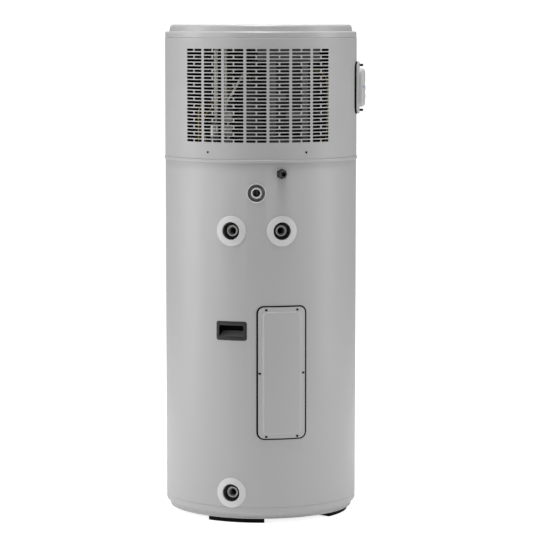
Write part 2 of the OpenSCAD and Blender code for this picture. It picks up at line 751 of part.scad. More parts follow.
module fan_shroud() {
    hub_r = 42;
    color("#2a2d30") {
        difference() {
            union() {
                intersection() {
                    translate([-300, evap_y + evap_depth + 1, floor_z + 0.1]) cube([600, 3, 380]);
                    cylinder(r = hood_r - hood_t - gap, h = 2000);
                }
                translate([0, evap_y + evap_depth + 2, fan_z]) rotate([-90, 0, 0])
                    cylinder(r = fan_r + 7, h = 46);
            }
            translate([0, evap_y, fan_z]) rotate([-90, 0, 0]) cylinder(r = fan_r + 4, h = 100);
        }
        // Spokes and a ring carry the motor behind the blades
        for (a = [45:90:315]) translate([0, motor_y - 30.5, fan_z]) rotate([0, a, 0])
            translate([hub_r + 1, -4, -4]) cube([fan_r + 4.5 - hub_r, 4, 8]);
        translate([0, motor_y - 35.2, fan_z]) rotate([-90, 0, 0]) difference() {
            cylinder(r = hub_r + 2, h = 10);
            translate([0, 0, -1]) cylinder(r = hub_r, h = 12);
        }
    }
}

module fan_motor() {
    color("#33373a") translate([0, motor_y - 36, fan_z]) rotate([-90, 0, 0]) difference() {
        union() {
            cylinder(r = 41.9, h = 48);
            translate([0, 0, 48]) cylinder(r1 = 36, r2 = 28, h = 8);
        }
        translate([0, 0, -1]) cylinder(r = shaft_r + 0.06, h = 46);
    }
}

module fan_shaft() {
    color("silver") translate([0, fan_y - 6, fan_z]) rotate([-90, 0, 0]) cylinder(r = shaft_r, h = 62);
}

// A blade tapering from a steep root to a flatter tip
module fan_blade() {
    hull() {
        translate([32, 0, 0]) rotate([34, 0, 0]) cube([4, 2, 46], center = true);
        rotate([0, -20, 0]) translate([fan_r - 4, 2, 0]) rotate([20, 0, 0])
            cube([2, 1.6, 82], center = true);
    }
}

module fan_impeller() {
    color("#1c1e20") translate([0, fan_y, fan_z]) {
        rotate([-90, 0, 0]) difference() {
            cylinder(r = 34, h = 20);
            translate([0, 0, 3]) cylinder(r = 31, h = 30);
            translate([0, 0, -1]) cylinder(r = shaft_r, h = 30);
        }
        rotate([-90, 0, 0]) difference() {
            cylinder(r = 8, h = 19);
            translate([0, 0, -1]) cylinder(r = shaft_r, h = 30);
        }
        intersection() {
            for (i = [0:4]) rotate([0, 72 * i, 0]) translate([0, 11, 0]) fan_blade();
            translate([0, -12, 0]) rotate([-90, 0, 0]) ring(fan_r - 1, 32.5, 0, 46);
        }
    }
}

// The sheet-metal frame that holds the electronics box just inside the grille
module bracket_frame() {
    depth_y = -236;
    bottom = floor_z + 0.1;
    color("#4a4c4e") {
        for (x = [40, 146]) translate([x, depth_y, bottom]) cube([21, 2, 1585 - bottom]);
        translate([0, depth_y - 2.1, 1540]) cube([206, 2, 45]);
        translate([61, depth_y, 1413]) cube([32, 2, 18]);
        translate([94, depth_y, 1348]) cube([52, 2, 24]);
        translate([40, depth_y - 2.1, bottom]) cube([127, 2, 76]);
        for (x = [40, 146]) translate([x, depth_y + 2.1, bottom]) cube([21, 24, 2]);
    }
}

module electronics_box() {
    color("#202325") difference() {
        translate([42, -232, 1300]) cube([124, 84, 240]);
        translate([44.5, -229.5, 1302.5]) cube([119, 79, 235]);
    }
}

// Each wire is a list of route points and its colour
wires = [
    [[[-196, -240, 1216], [-196, -240, 1392], [-150, -180, 1400], [-30, -112, 1500]], "#a8842c"],
    [[[-186, -236, 1216], [-183, -240, 1330], [-170, -246, 1372], [-150, -200, 1384]], "#a8842c"],
    [[[-176, -238, 1384], [-186, -250, 1350], [-176, -236, 1300], [-165, -220, 1216]], "#8f7430"],
    [[[172, -165, 1510], [212, -168, 1506], [231, -212, 1476], [231, -214, 1330], [215, -180, 1216]],
        "#b5562a"],
    [[[170, -200, 1500], [214, -190, 1500], [240, -60, 1447], [300, 0, 1447], [334, 0, 1447]], "#2a2a2a"]];

module wire_loom() {
    for (w = wires) color(w[1]) swept_tube(smooth_route(w[0], 24), 2.2, 6);
}

// --- Control pod -------------------------------------------------------------------------------

module pod_gasket() {
    color("#17181a") difference() {
        wall_plate(pod_w + 0.6, pod_h + 0.6, pod_corner, hood_r, pod_base_r, pod_angle, pod_z);
        on_wall(pod_angle, pod_z, hood_r - 10)
            linear_extrude(30) polygon(round_rect(pod_box_w - 24, pod_box_h - 4, 12));
        for (dz = [-pod_screw_dz, pod_screw_dz])
            on_wall(pod_angle, pod_z + dz, hood_r - 10) cylinder(r = 2.1, h = 30, $fn = 24);
    }
}

// The case's round front edge is stepped: each step is an inset of its outline and a radius
pod_steps = [[0, pod_face_r - 8], [3, pod_face_r - 4], [8, pod_face_r - 1.6], [14, pod_face_r]];

module pod_housing() {
    wall = 4.5;
    color("#c3c4c5") difference() {
        union() {
            wall_plate(pod_w, pod_h, pod_corner, pod_base_r, pod_base_r + pod_flange_t, pod_angle, pod_z);
            for (s = pod_steps)
                wall_plate(pod_box_w - s[0], pod_box_h - s[0], 20 - s[0] / 2, pod_base_r, s[1],
                    pod_angle, pod_z);
        }
        for (s = pod_steps) wall_plate(pod_box_w - s[0] - 2 * wall, pod_box_h - s[0] - 2 * wall,
            16 - s[0] / 2, pod_base_r - 1, s[1] - wall / 2, pod_angle, pod_z);
        on_wall(pod_angle, pod_z + 34, pod_base_r) linear_extrude(60) polygon(round_rect(52, 26, 3));
        for (p = button_spots()) on_wall(pod_angle, 0, pod_base_r) translate([p[0], pod_z + p[1], 0])
            cylinder(r = button_r + 0.3, h = 60);
        for (dz = [-pod_screw_dz, pod_screw_dz])
            on_wall(pod_angle, pod_z + dz, hood_r - 10) cylinder(r = 2.1, h = 40, $fn = 24);
    }
}

module pod_screws() {
    color("#17181a") for (dz = [-pod_screw_dz, pod_screw_dz])
        on_wall(pod_angle, pod_z + dz, pod_base_r + pod_flange_t + 0.05) pan_screw(3.5, 13, 2, 20);
}

module display_lens() {
    color("#14202c") wall_plate(51.6, 25.6, 3, pod_face_r - 2.4, pod_face_r + 0.2, pod_angle, pod_z + 34);
}

module pod_circuit_board() {
    board_x = 338;
    color("#1f6b3a") {
        translate([board_x, -33, pod_z - 52]) cube([1.6, 66, 104]);
        for (p = button_spots()) translate([board_x + 1.6, p[0] - 3, pod_z + p[1] - 3]) cube([6, 6, 6]);
        translate([board_x + 1.6, -24, pod_z + 22]) cube([8, 48, 22]);
    }
}

// Sideways offset and height offset of each button from the middle of the pod
function button_spots() = [[0, -1], [-button_spread, side_button_dz], [button_spread, side_button_dz]];

module push_button(i, tint) {
    p = button_spots()[i];
    color(tint) translate([0, p[0], pod_z + p[1]]) rotate([0, 90, 0]) {
        translate([0, 0, 348.4]) cylinder(r = button_r, h = pod_face_r + button_rise - 348.4);
        translate([0, 0, 349.6]) cylinder(r = button_r + 1.4, h = 1.4);
        translate([0, 0, 347.2]) cylinder(r = 3, h = 3);
    }
}

module button_power() { push_button(0, "#5d8fd0"); }
module button_up() { push_button(1, "#d9dadb"); }
module button_down() { push_button(2, "#d9dadb"); }

// --- Nodes -------------------------------------------------------------------------------------

feet();
foot_bolts();
base_pan();
outer_casing();
insulation_jacket();
tank_shell();
cold_inlet_socket();
hot_outlet_socket();
relief_valve_socket();
cold_inlet_collar();
hot_outlet_collar();
relief_valve_collar();
drain_trim_ring();
drain_grommet();
condensate_outlet_tube();
cable_gland_body();
cable_gland_nut();
cable_gland_locknut();
handle_recess_rear();
handle_recess_front();
access_gasket();
access_cover();
access_screws();
element_flange();
element_gasket();
element_bolts();
heating_element();
safety_thermostat();
magnesium_anode();
condenser_coil();
seam_ring();
condensate_tray();
deck_plate();
hood_rear();
hood_front();
hood_screws();
top_lid();
compressor();
compressor_grommets();
accumulator();
filter_drier();
expansion_valve();
refrigerant_pipes();
evaporator_fins();
evaporator_tubes();
fan_shroud();
fan_motor();
fan_shaft();
fan_impeller();
bracket_frame();
electronics_box();
wire_loom();
pod_gasket();
pod_housing();
pod_screws();
display_lens();
pod_circuit_board();
button_power();
button_up();
button_down();
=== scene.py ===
"""A heat-pump tank water heater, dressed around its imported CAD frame.

Everything is in metres in the frame's own axes: +Z up, the grille and water ports facing -Y and
the control pod facing +X. Angles are in degrees from -Y towards +X.
"""

import json
import math

import bmesh
import bpy
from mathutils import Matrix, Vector


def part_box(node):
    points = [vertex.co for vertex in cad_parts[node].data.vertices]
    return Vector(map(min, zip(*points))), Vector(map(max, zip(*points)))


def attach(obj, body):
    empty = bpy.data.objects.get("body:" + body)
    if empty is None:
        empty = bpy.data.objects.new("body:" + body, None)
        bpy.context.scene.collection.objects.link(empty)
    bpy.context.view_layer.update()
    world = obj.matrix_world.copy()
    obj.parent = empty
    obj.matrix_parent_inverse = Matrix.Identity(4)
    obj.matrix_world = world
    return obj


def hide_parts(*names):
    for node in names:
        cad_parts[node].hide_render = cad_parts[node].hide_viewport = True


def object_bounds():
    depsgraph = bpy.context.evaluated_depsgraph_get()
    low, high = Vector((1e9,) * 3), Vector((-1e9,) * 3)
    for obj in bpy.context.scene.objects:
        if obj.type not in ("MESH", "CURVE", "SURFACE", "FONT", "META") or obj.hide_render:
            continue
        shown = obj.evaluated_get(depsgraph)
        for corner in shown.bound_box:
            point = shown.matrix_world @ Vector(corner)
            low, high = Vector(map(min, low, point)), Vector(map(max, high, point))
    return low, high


MM = 0.001

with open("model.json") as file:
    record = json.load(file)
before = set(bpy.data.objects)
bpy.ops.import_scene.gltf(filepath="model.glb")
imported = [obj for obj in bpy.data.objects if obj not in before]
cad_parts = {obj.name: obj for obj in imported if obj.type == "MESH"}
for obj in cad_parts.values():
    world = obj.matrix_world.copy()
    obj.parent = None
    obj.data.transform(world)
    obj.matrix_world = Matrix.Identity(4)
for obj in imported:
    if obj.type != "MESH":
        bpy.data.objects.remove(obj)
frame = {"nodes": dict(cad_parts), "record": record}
cad_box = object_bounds()
record = frame["record"]


# --- Places read from the frame ---

def points_of(node):
    """Every vertex of a CAD node, in the row frame."""
    return [v.co.copy() for v in frame["nodes"][node].data.vertices]


def angle_of(p):
    """The angle of a point about the casing's axis, from -Y towards +X."""
    return math.degrees(math.atan2(p[0], -p[1]))


def wall_span(node, about=0):
    """Where a node on the wall is and how big, its angle being within 180 degrees of about."""
    pts = points_of(node)
    turns = [(angle_of(p) - about + 180) % 360 - 180 for p in pts]
    radii = [math.hypot(p.x, p.y) for p in pts]
    middle = about + (min(turns) + max(turns)) / 2
    a = math.radians(middle)
    across = [p.x * math.cos(a) + p.y * math.sin(a) for p in pts]
    heights = [p.z for p in pts]
    low, high = min(heights), max(heights)
    return {"angle": middle, "z": (low + high) / 2, "width": max(across) - min(across), "height": high - low,
            "low": low, "high": high, "inner": min(radii), "outer": max(radii)}


def solid_centres(node, reach):
    """The middle of each group of vertices of a node that lie within reach of each other."""
    groups = []
    for p in points_of(node):
        near = [g for g in groups if (g[0] - p).length < reach]
        if near:
            near[0].append(p)
        else:
            groups.append([p])
    return [sum(g, Vector()) / len(g) for g in groups]


def port_place(mount):
    """Where a port's mount is on the wall, and its bore."""
    pos = mount["pos_m"]
    return {"angle": angle_of(pos), "z": pos[2], "bore": mount["dims"]["r_mm"] * MM}


CASING_R = wall_span("outer_casing")["outer"]
HOOD_R = wall_span("hood_rear")["outer"]
MOUNTS = {m["name"]: m for m in record["mounts"]}
PORTS = {"hot_outlet": port_place(MOUNTS["hot_water_outlet"]),
         "relief_valve": port_place(MOUNTS["relief_valve_port"]),
         "cold_inlet": port_place(MOUNTS["cold_water_inlet"])}
DRAIN = port_place(MOUNTS["condensate_outlet"])
HANDLES = {"handle_recess_rear": wall_span("handle_recess_rear"),
           "handle_recess_front": wall_span("handle_recess_front", 180)}
CUT_REACH = 30 * MM          # how far a cutter reaches to each side of the wall
LIFT_OFF = 0.05 * MM         # the gap that keeps two touching faces apart


# --- Mesh helpers ---

def on_wall(angle, x, z, y):
    """The point x to the right of a feature's middle, at height z and y out from the axis."""
    a = math.radians(angle)
    return (x * math.cos(a) + y * math.sin(a), x * math.sin(a) - y * math.cos(a), z)


def bulge(x, radius):
    """How far out a wall of this radius stands at x to the side."""
    return math.sqrt(max(radius * radius - x * x, 0))


def linked(name, mesh):
    """An object of a mesh, in the scene and shaded."""
    obj = bpy.data.objects.new(name, mesh)
    bpy.context.scene.collection.objects.link(obj)
    shade(obj)
    return obj


def new_object(name, verts, faces):
    """A mesh object with outward normals."""
    mesh = bpy.data.meshes.new(name)
    mesh.from_pydata(verts, [], faces)
    work = bmesh.new()
    work.from_mesh(mesh)
    bmesh.ops.remove_doubles(work, verts=work.verts, dist=1e-6)
    bmesh.ops.recalc_face_normals(work, faces=work.faces)
    work.to_mesh(mesh)
    work.free()
    return linked(name, mesh)


def shade(obj, sharp=35):
    """Smooth shading that breaks at edges sharper than the angle."""
    mesh = obj.data
    mesh.polygons.foreach_set("use_smooth", [True] * len(mesh.polygons))
    mesh.set_sharp_from_angle(angle=math.radians(sharp))
    mesh.update()


def bake(obj, sharp=35):
    """Turns an object's modifiers into its mesh."""
    graph = bpy.context.evaluated_depsgraph_get()
    mesh = bpy.data.meshes.new_from_object(obj.evaluated_get(graph))
    obj.modifiers.clear()
    obj.data = mesh
    shade(obj, sharp)


def modify(obj, kind, **values):
    """Adds a modifier with these settings."""
    mod = obj.modifiers.new(kind.lower(), kind)
    for key, value in values.items():
        setattr(mod, key, value)


def cut(obj, cutter):
    """Takes the cutter's volume out of the object."""
    modify(obj, "BOOLEAN", operation="DIFFERENCE", solver="EXACT", object=cutter)
    bake(obj)
    bpy.data.objects.remove(cutter)


def joined(name, objs):
    """One object from several, keeping each face's material index."""
    work = bmesh.new()
    for o in objs:
        work.from_mesh(o.data)
        bpy.data.objects.remove(o)
    mesh = bpy.data.meshes.new(name)
    work.to_mesh(mesh)
    work.free()
    return linked(name, mesh)


def in_mm(points, r=0.0, y=0.0, follow=False):
    """Profile points given in millimetres from the radius r and the distance y.

    follow marks each of them as a wall radius to follow, for radial_lathe.
    """
    return [(r + a * MM, y + b * MM, True) if follow else (r + a * MM, y + b * MM) for a, b in points]


def skinned(name, rings, closed, caps=()):
    """A mesh object of quads between neighbouring rings of the same number of points, and caps."""
    n = len(rings[0])
    count = len(rings)
    faces = []
    for k in range(count if closed else count - 1):
        a = k * n
        b = (k + 1) % count * n
        for i in range(n):
            j = (i + 1) % n
            faces.append((a + i, a + j, b + j, b + i))
    verts = [p for ring in rings for p in ring]
    return new_object(name, verts, faces + list(caps))


def disc_caps(rings):
    """One face on the first and one on the last of a stack of rings."""
    n = len(rings[0])
    last = (len(rings) - 1) * n
    return [tuple(range(n)), tuple(range(last, last + n))]


def lathe(name, profile, closed=False, segments=256, place=None):
    """A profile of (radius, height) points turned about an axis, upright unless place says how."""
    place = place or (lambda c, s, r, h: (r * c, r * s, h))
    turn = [math.tau * i / segments for i in range(segments)]
    rings = [[place(math.cos(t), math.sin(t), max(r, 1e-5), h) for t in turn] for r, h in profile]
    return skinned(name, rings, closed, () if closed else disc_caps(rings))


def radial_lathe(name, angle, z, profile, closed=True, segments=96, apothem=None, twist=0):
    """A profile of (radius, distance from the axis) turned about a line square to the wall.

    A third value of True in a profile point means that its distance is a wall radius to follow.
    apothem clips the turned shape to a hexagon.
    """
    rings = []
    for r, y, *follows in profile:
        ring = []
        for i in range(segments):
            t = math.tau * i / segments
            reach = r
            if apothem:
                side = math.radians((math.degrees(t) + twist) % 60 - 30)
                reach = min(r, apothem / math.cos(side))
            x = reach * math.cos(t)
            ring.append(on_wall(angle, x, z + reach * math.sin(t), bulge(x, y) if follows else y))
        rings.append(ring)
    return skinned(name, rings, closed, () if closed else disc_caps(rings))


def rounded_loop(w, h, corner, dz=0, n=8, spans=14):
    """A round-cornered rectangle whose top and bottom points stand over each other."""
    half = []
    for i in range(n + 1):
        a = math.pi - math.pi / 2 * i / n
        half.append((-w / 2 + corner + corner * math.cos(a), h / 2 - corner + corner * math.sin(a)))
    inner = w - 2 * corner
    for i in range(1, spans):
        half.append((-inner / 2 + inner * i / spans, h / 2))
    for i in range(n + 1):
        a = math.pi / 2 - math.pi / 2 * i / n
        half.append((w / 2 - corner + corner * math.cos(a), h / 2 - corner + corner * math.sin(a)))
    return [(x, z + dz) for x, z in half] + [(x, -z + dz) for x, z in reversed(half)]


def strip_cap(start, n):
    """Quads that fill a rounded loop from its top points straight down to its bottom points."""
    return [(start + i, start + i + 1, start + n - 2 - i, start + n - 1 - i) for i in range(n // 2 - 1)]


def wall_stack(name, angle, z, loops, closed=False):
    """Rounded loops stacked out from the wall and skinned.

    A loop is (width, height, corner, distance) with an optional height offset and an optional
    True where the distance is flat and doesn't follow the wall.
    """
    rings = []
    for w, h, corner, y, *more in loops:
        dz = more[0] if more else 0
        flat = len(more) > 1 and more[1]
        rings.append([on_wall(angle, px, z + pz, y if flat else bulge(px, y))
                      for px, pz in rounded_loop(w, h, corner, dz)])
    n = len(rings[0])
    caps = [] if closed else strip_cap(0, n) + strip_cap((len(rings) - 1) * n, n)
    return skinned(name, rings, closed, caps)


def shrunk(w, h, rows):
    """Loops of a w by h outline made smaller: rows of millimetres off, corner in mm, distance."""
    return [(w - off * MM, h - off * MM, corner * MM, y) for off, corner, y in rows]


def slug(angle, z, w, h, corner):
    """A flat-ended block through the wall, to cut a hole with."""
    return wall_stack("cutter", angle, z, [(w, h, corner, CASING_R - CUT_REACH, 0, True),
                                           (w, h, corner, CASING_R + CUT_REACH, 0, True)])


def plug(angle, z, r):
    """A round block through the wall, to cut a hole with."""
    return radial_lathe("cutter", angle, z, [(r, CASING_R - CUT_REACH), (r, CASING_R + CUT_REACH)],
                        closed=False)


def fillet(r0, h0, r1, h1, outward, n=6):
    """Points of a quarter round from (r0, h0) to (r1, h1); outward says which way it bows."""
    pts = []
    for i in range(n + 1):
        t = math.pi / 2 * i / n
        if outward:
            pts.append((r0 + (r1 - r0) * (1 - math.cos(t)), h0 + (h1 - h0) * math.sin(t)))
        else:
            pts.append((r0 + (r1 - r0) * math.sin(t), h0 + (h1 - h0) * (1 - math.cos(t))))
    return pts


# --- Materials ---

class Look:
    """A procedural material built up from a Principled shader."""

    def __init__(self, colour, roughness, metallic=0.0, specular=0.5, coat=0.0):
        self.mat = bpy.data.materials.new("look")
        self.mat.use_nodes = True
        self.tree = self.mat.node_tree
        self.shader = self.tree.nodes["Principled BSDF"]
        self.colour = colour
        self.roughness = roughness
        self.set(self.shader, {"Base Color": (*colour, 1), "Roughness": roughness, "Metallic": metallic,
                               "Specular IOR Level": specular, "Coat Weight": coat})
        self.coords = self.tree.nodes.new("ShaderNodeTexCoord")

    def set(self, node, values):
        """Sets a node's sockets by name."""
        for key, value in values.items():
            node.inputs[key].default_value = value

    def node(self, kind, **values):
        """A new node with these values on its sockets."""
        made = self.tree.nodes.new(kind)
        self.set(made, values)
        return made

    def link(self, a, b):
        """Joins an output to an input."""
        self.tree.links.new(a, b)

    def noise(self, scale, detail):
        """Noise over the object's own coordinates, with features of about 1/scale metres."""
        made = self.node("ShaderNodeTexNoise", Scale=scale, Detail=detail)
        self.link(self.coords.outputs["Object"], made.inputs["Vector"])
        return made.outputs["Fac"]

    def cells(self, scale):
        """Distance to the nearest of a scatter of points about 1/scale metres apart."""
        made = self.node("ShaderNodeTexVoronoi", Scale=scale)
        self.link(self.coords.outputs["Object"], made.inputs["Vector"])
        return made.outputs["Distance"]

    def ramp(self, source, low, high, dark, light):
        """Turns source values from dark to light into values from low to high."""
        limits = {"From Min": dark, "From Max": light, "To Min": low, "To Max": high}
        made = self.node("ShaderNodeMapRange", **limits)
        self.link(source, made.inputs["Value"])
        return made.outputs["Result"]

    def tint(self, source, other, dark=0.35, light=0.65):
        """Varies the base colour between the look's own and another."""
        mix = self.tree.nodes.new("ShaderNodeMix")
        mix.data_type = "RGBA"
        self.set(mix, {"A": (*self.colour, 1), "B": (*other, 1)})
        self.link(self.ramp(source, 0, 1, dark, light), mix.inputs["Factor"])
        self.link(mix.outputs["Result"], self.shader.inputs["Base Color"])

    def wear(self, source, spread, dark=0.3, light=0.7):
        """Varies the roughness around its own value."""
        value = self.ramp(source, self.roughness - spread, self.roughness + spread, dark, light)
        self.link(value, self.shader.inputs["Roughness"])

    def bump(self, source, strength, distance):
        """Gives the surface a bump of this depth in metres."""
        made = self.node("ShaderNodeBump", Strength=strength, Distance=distance)
        self.link(source, made.inputs["Height"])
        self.link(made.outputs["Normal"], self.shader.inputs["Normal"])

    def glow(self, colour, strength):
        """Makes the surface give off light."""
        self.set(self.shader, {"Emission Color": (*colour, 1), "Emission Strength": strength})


def grey(value):
    return (value, value, value)


def scaled(colour, factor):
    return tuple(c * factor for c in colour)


def painted(value, roughness=0.42):
    """Satin powder coat on sheet steel: faint orange peel and slight cloudiness."""
    look = Look(grey(value), roughness, specular=0.45)
    look.tint(look.noise(2.5, 4), grey(value * 0.965), 0.3, 0.7)
    look.wear(look.noise(14, 5), 0.03)
    look.bump(look.noise(420, 2), 0.05, 0.0002)
    return look.mat


def moulded(colour, roughness=0.5, grain=1400, depth=0.00005, specular=0.45):
    """Moulded plastic with a fine spark-eroded grain."""
    look = Look(colour, roughness, specular=specular)
    look.tint(look.noise(6, 4), scaled(colour, 0.95), 0.3, 0.7)
    look.wear(look.noise(40, 4), 0.035)
    look.bump(look.noise(grain, 2), 0.18, depth)
    return look.mat


PIPE_SHADE_FROM = -0.198       # y where the pipes start to darken from white, painted shade deeper in the hood
PIPE_SHADE_TO = -0.178


def pipe_with_painted_shade(colour):
    """White insulated pipe at the front of the hood, painted darker to near black further back as painted
    shade inside the hood.
    """
    look = Look(colour, 0.6)
    place = look.tree.nodes.new("ShaderNodeSeparateXYZ")
    look.link(look.coords.outputs["Object"], place.inputs[0])
    # painted shade: the colour darkens to near black from the front of the hood towards its back
    look.tint(place.outputs["Y"], grey(0.004), PIPE_SHADE_FROM, PIPE_SHADE_TO)
    look.wear(look.noise(60, 4), 0.03)
    look.bump(look.noise(700, 2), 0.18, 0.0002)
    return look.mat


def rubber(colour, roughness=0.72, specular=0.3):
    """Matte rubber with a dusty bloom."""
    look = Look(colour, roughness, specular=specular)
    look.tint(look.noise(60, 5), scaled(colour, 1.9), 0.45, 0.75)
    look.bump(look.noise(900, 3), 0.25, 0.0001)
    return look.mat


def metal(colour, roughness, shade_to=0.75):
    """Bare metal, a little uneven in shade and polish, with a fine grain."""
    look = Look(colour, roughness, metallic=1.0)
    look.tint(look.noise(50, 4), scaled(colour, shade_to), 0.35, 0.7)
    look.wear(look.noise(300, 4), 0.08)
    look.bump(look.noise(900, 2), 0.12, 0.00006)
    return look.mat


def spangled(colour, roughness):
    """Galvanised sheet: flat crystals of slightly different shade."""
    look = Look(colour, roughness, metallic=0.9)
    look.tint(look.cells(90), scaled(colour, 0.7), 0.1, 0.6)
    look.wear(look.cells(60), 0.1, 0.1, 0.6)
    return look.mat


def foam(colour):
    """Open-cell foam."""
    look = Look(colour, 0.92, specular=0.15)
    look.tint(look.cells(420), scaled(colour, 0.6), 0.5, 0.9)
    look.bump(look.cells(650), 0.6, 0.0006)
    return look.mat


def circuit_green():
    """Solder mask with the faint relief of tracks under it."""
    look = Look((0.012, 0.12, 0.05), 0.3)
    brick = look.node("ShaderNodeTexBrick", Scale=240)
    look.link(look.coords.outputs["Object"], brick.inputs["Vector"])
    look.tint(brick.outputs["Fac"], (0.02, 0.2, 0.08), 0.2, 0.8)
    look.bump(brick.outputs["Fac"], 0.2, 0.00004)
    return look.mat


def lit_plastic(colour, strength):
    """A translucent lens with a lamp behind it."""
    look = Look(colour, 0.3, specular=0.5, coat=0.3)
    look.tint(look.noise(500, 2), scaled(colour, 1.2))
    look.glow(colour, strength)
    return look.mat


def tinted_window():
    """A dark smoked display window."""
    look = Look((0.008, 0.012, 0.018), 0.08, coat=1.0)
    look.tint(look.noise(30, 2), (0.012, 0.018, 0.028))
    look.wear(look.noise(80, 4), 0.03)
    return look.mat


LOOKS = {
    "casing_paint": painted(0.40),
    "hood_plastic": moulded(grey(0.40), 0.46, depth=0.00003),
    "lid_plastic": moulded(grey(0.41), 0.36, depth=0.00002, specular=0.6),
    "collar_plastic": moulded(grey(0.57), 0.36, depth=0.00002),
    "pod_plastic": moulded(grey(0.46), 0.38, depth=0.00002),
    "black_plastic": moulded(grey(0.012), 0.42, grain=2200),
    "black_screw": moulded(grey(0.003), 0.5, grain=900, specular=0.2),
    # painted light and painted shade: a lighter grey for the pocket's upward faces and near black for its
    # roof and walls
    "pocket_floor_painted_light": moulded(grey(0.17), 0.5, grain=2200),
    "pocket_hollow_painted_shade": moulded(grey(0.001), 0.7, grain=2200, specular=0.1),
    "black_rubber": rubber(grey(0.003), 0.8, 0.12),
    "port_rubber": rubber(grey(0.07), 0.55),
    # painted shade: a darker copy of the socket's grey for the faces deep in its bore
    "socket_bore_painted_shade": moulded(grey(0.22), 0.5, grain=900),
    "grey_rubber": rubber(grey(0.085), 0.6),
    "zinc_steel": metal((0.62, 0.62, 0.58), 0.35, shade_to=0.8),
    "socket_steel": moulded((0.42, 0.417, 0.41), 0.34, grain=900, depth=0.00004, specular=0.8),
    "enamel": painted(0.1, 0.25),
    "foam": foam((0.7, 0.58, 0.3)),
    "copper": metal((0.72, 0.36, 0.2), 0.3, shade_to=0.6),
    # painted shade: the evaporator fins are near black to stand for the shade inside the hood
    "coated_fins": painted(0.004, 0.5),
    "magnesium": metal((0.45, 0.46, 0.45), 0.6),
    "compressor_paint": moulded(grey(0.008), 0.35, grain=500, depth=0.0001),
    "frame_steel": painted(0.13, 0.5),
    # painted shade: near black, given to the electronics box and fan shroud to stand for the shade behind the
    # grille
    "shade_black_plastic": moulded(grey(0.003), 0.6),
    "tray_plastic": moulded(grey(0.03), 0.6),
    "deck_steel": spangled((0.3, 0.31, 0.32), 0.45),
    # painted shade: white pipes at the front of the hood, near black further back
    "insulated_pipe": pipe_with_painted_shade((0.62, 0.6, 0.54)),
    "gasket_fibre": rubber((0.04, 0.02, 0.016), 0.8),
    "wire": moulded((0.46, 0.3, 0.06), 0.4, depth=0.00002),
    "circuit_board": circuit_green(),
    "display_glass": tinted_window(),
    "blue_button": lit_plastic((0.16, 0.27, 0.5), 0.2),
    "grey_button": moulded(grey(0.55), 0.4),
    "ceramic": moulded((0.7, 0.66, 0.58), 0.5),
    # painted shade: near black on the hood's inside faces and slot edges, so the inside reads dark through
    # the slots
    "hood_inside_painted_shade": foam(grey(0.006)),
}
for look_name, material in LOOKS.items():
    material.name = look_name
SLOT_OF = {s["node"]: s["material_slot"] for s in record["subparts"]}


def dress(obj, *looks):
    """Gives an object these looks in place of any that it has."""
    obj.data.materials.clear()
    for look in looks:
        obj.data.materials.append(LOOKS[look])


def fit(obj, node, body="heater", look=None):
    """Finishes a piece: it rides a body, stands for a CAD node and takes its slot and look."""
    slot = SLOT_OF[node]
    if look or not obj.data.materials:
        dress(obj, look or slot)
    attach(obj, body)
    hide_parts(node)


def add_trim(obj, look):
    """Finishes a piece of the heater that stands for no CAD node."""
    dress(obj, look)
    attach(obj, "heater")


# --- Base, casing, seam and lid ---

def base_pan():
    """A pan with a rolled lip, a sloping wall and a step up to its rim."""
    low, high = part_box("base_pan")
    rim, z0, z1 = high[0], low[2], high[2]
    floor_r = rim - 15 * MM
    sheet = 2.5 * MM
    lip = z0 - 2 * MM
    bead = 1.7 * MM
    outer = [(0, z0)] + in_mm([(-7, 2), (-5, 0.4), (-3, 0)], floor_r, lip)
    for a in range(-90, 76, 15):
        t = math.radians(a)
        outer.append((floor_r - 0.2 * MM + bead * math.cos(t), lip + bead + bead * math.sin(t)))
    outer += in_mm([(-0.1, 2.2), (0, 5.6), (1.2, 7)], floor_r, z0)
    outer += in_mm([(-1.4, 18.4), (-0.3, 20), (0, 22)], rim, z0)
    outer += [(rim, z1 - 0.8 * MM), (rim - 0.8 * MM, z1), (rim - sheet, z1)]
    inner = [(rim - sheet, z0 + 21.5 * MM), (floor_r - sheet, z0 + 8.5 * MM),
             (floor_r - sheet, z0 + sheet), (0, z0 + sheet)]
    fit(lathe("base_pan_skin", outer + inner), "base_pan")


def casing_holes():
    """Cutters for everything that goes through the casing, as one object."""
    cutters = []
    for port in PORTS.values():
        cutters.append(plug(port["angle"], port["z"], COLLAR_BORE + 1.5 * MM))
    cutters.append(plug(DRAIN["angle"], DRAIN["z"], TRIM_BORE))
    for spot in HANDLES.values():
        cutters.append(slug(spot["angle"], spot["z"], HANDLE_HOLE_W, HANDLE_HOLE_H, 6 * MM))
    seal = wall_span("access_gasket")
    cutters.append(slug(seal["angle"], seal["z"], seal["width"] - 2 * SEAL_WIDTH,
                        seal["height"] - 2 * SEAL_WIDTH, 12 * MM))
    return joined("cutters", cutters)


def casing():
    """Rolled sheet with hemmed edges, open for the ports, the handles and the cover."""
    z0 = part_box("base_pan")[1][2] + 0.25 * MM
    z1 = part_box("seam_ring")[0][2] - 0.15 * MM
    r = CASING_R
    sheet = 1.5 * MM
    hem = 0.7 * MM
    profile = [(r - sheet, z0), (r - hem, z0), (r - 0.2 * MM, z0 + 0.2 * MM), (r, z0 + hem),
               (r, z1 - hem), (r - 0.2 * MM, z1 - 0.2 * MM), (r - hem, z1), (r - sheet, z1)]
    shell = lathe("casing_sheet", profile, closed=True, segments=360)
    cut(shell, casing_holes())
    fit(shell, "outer_casing")


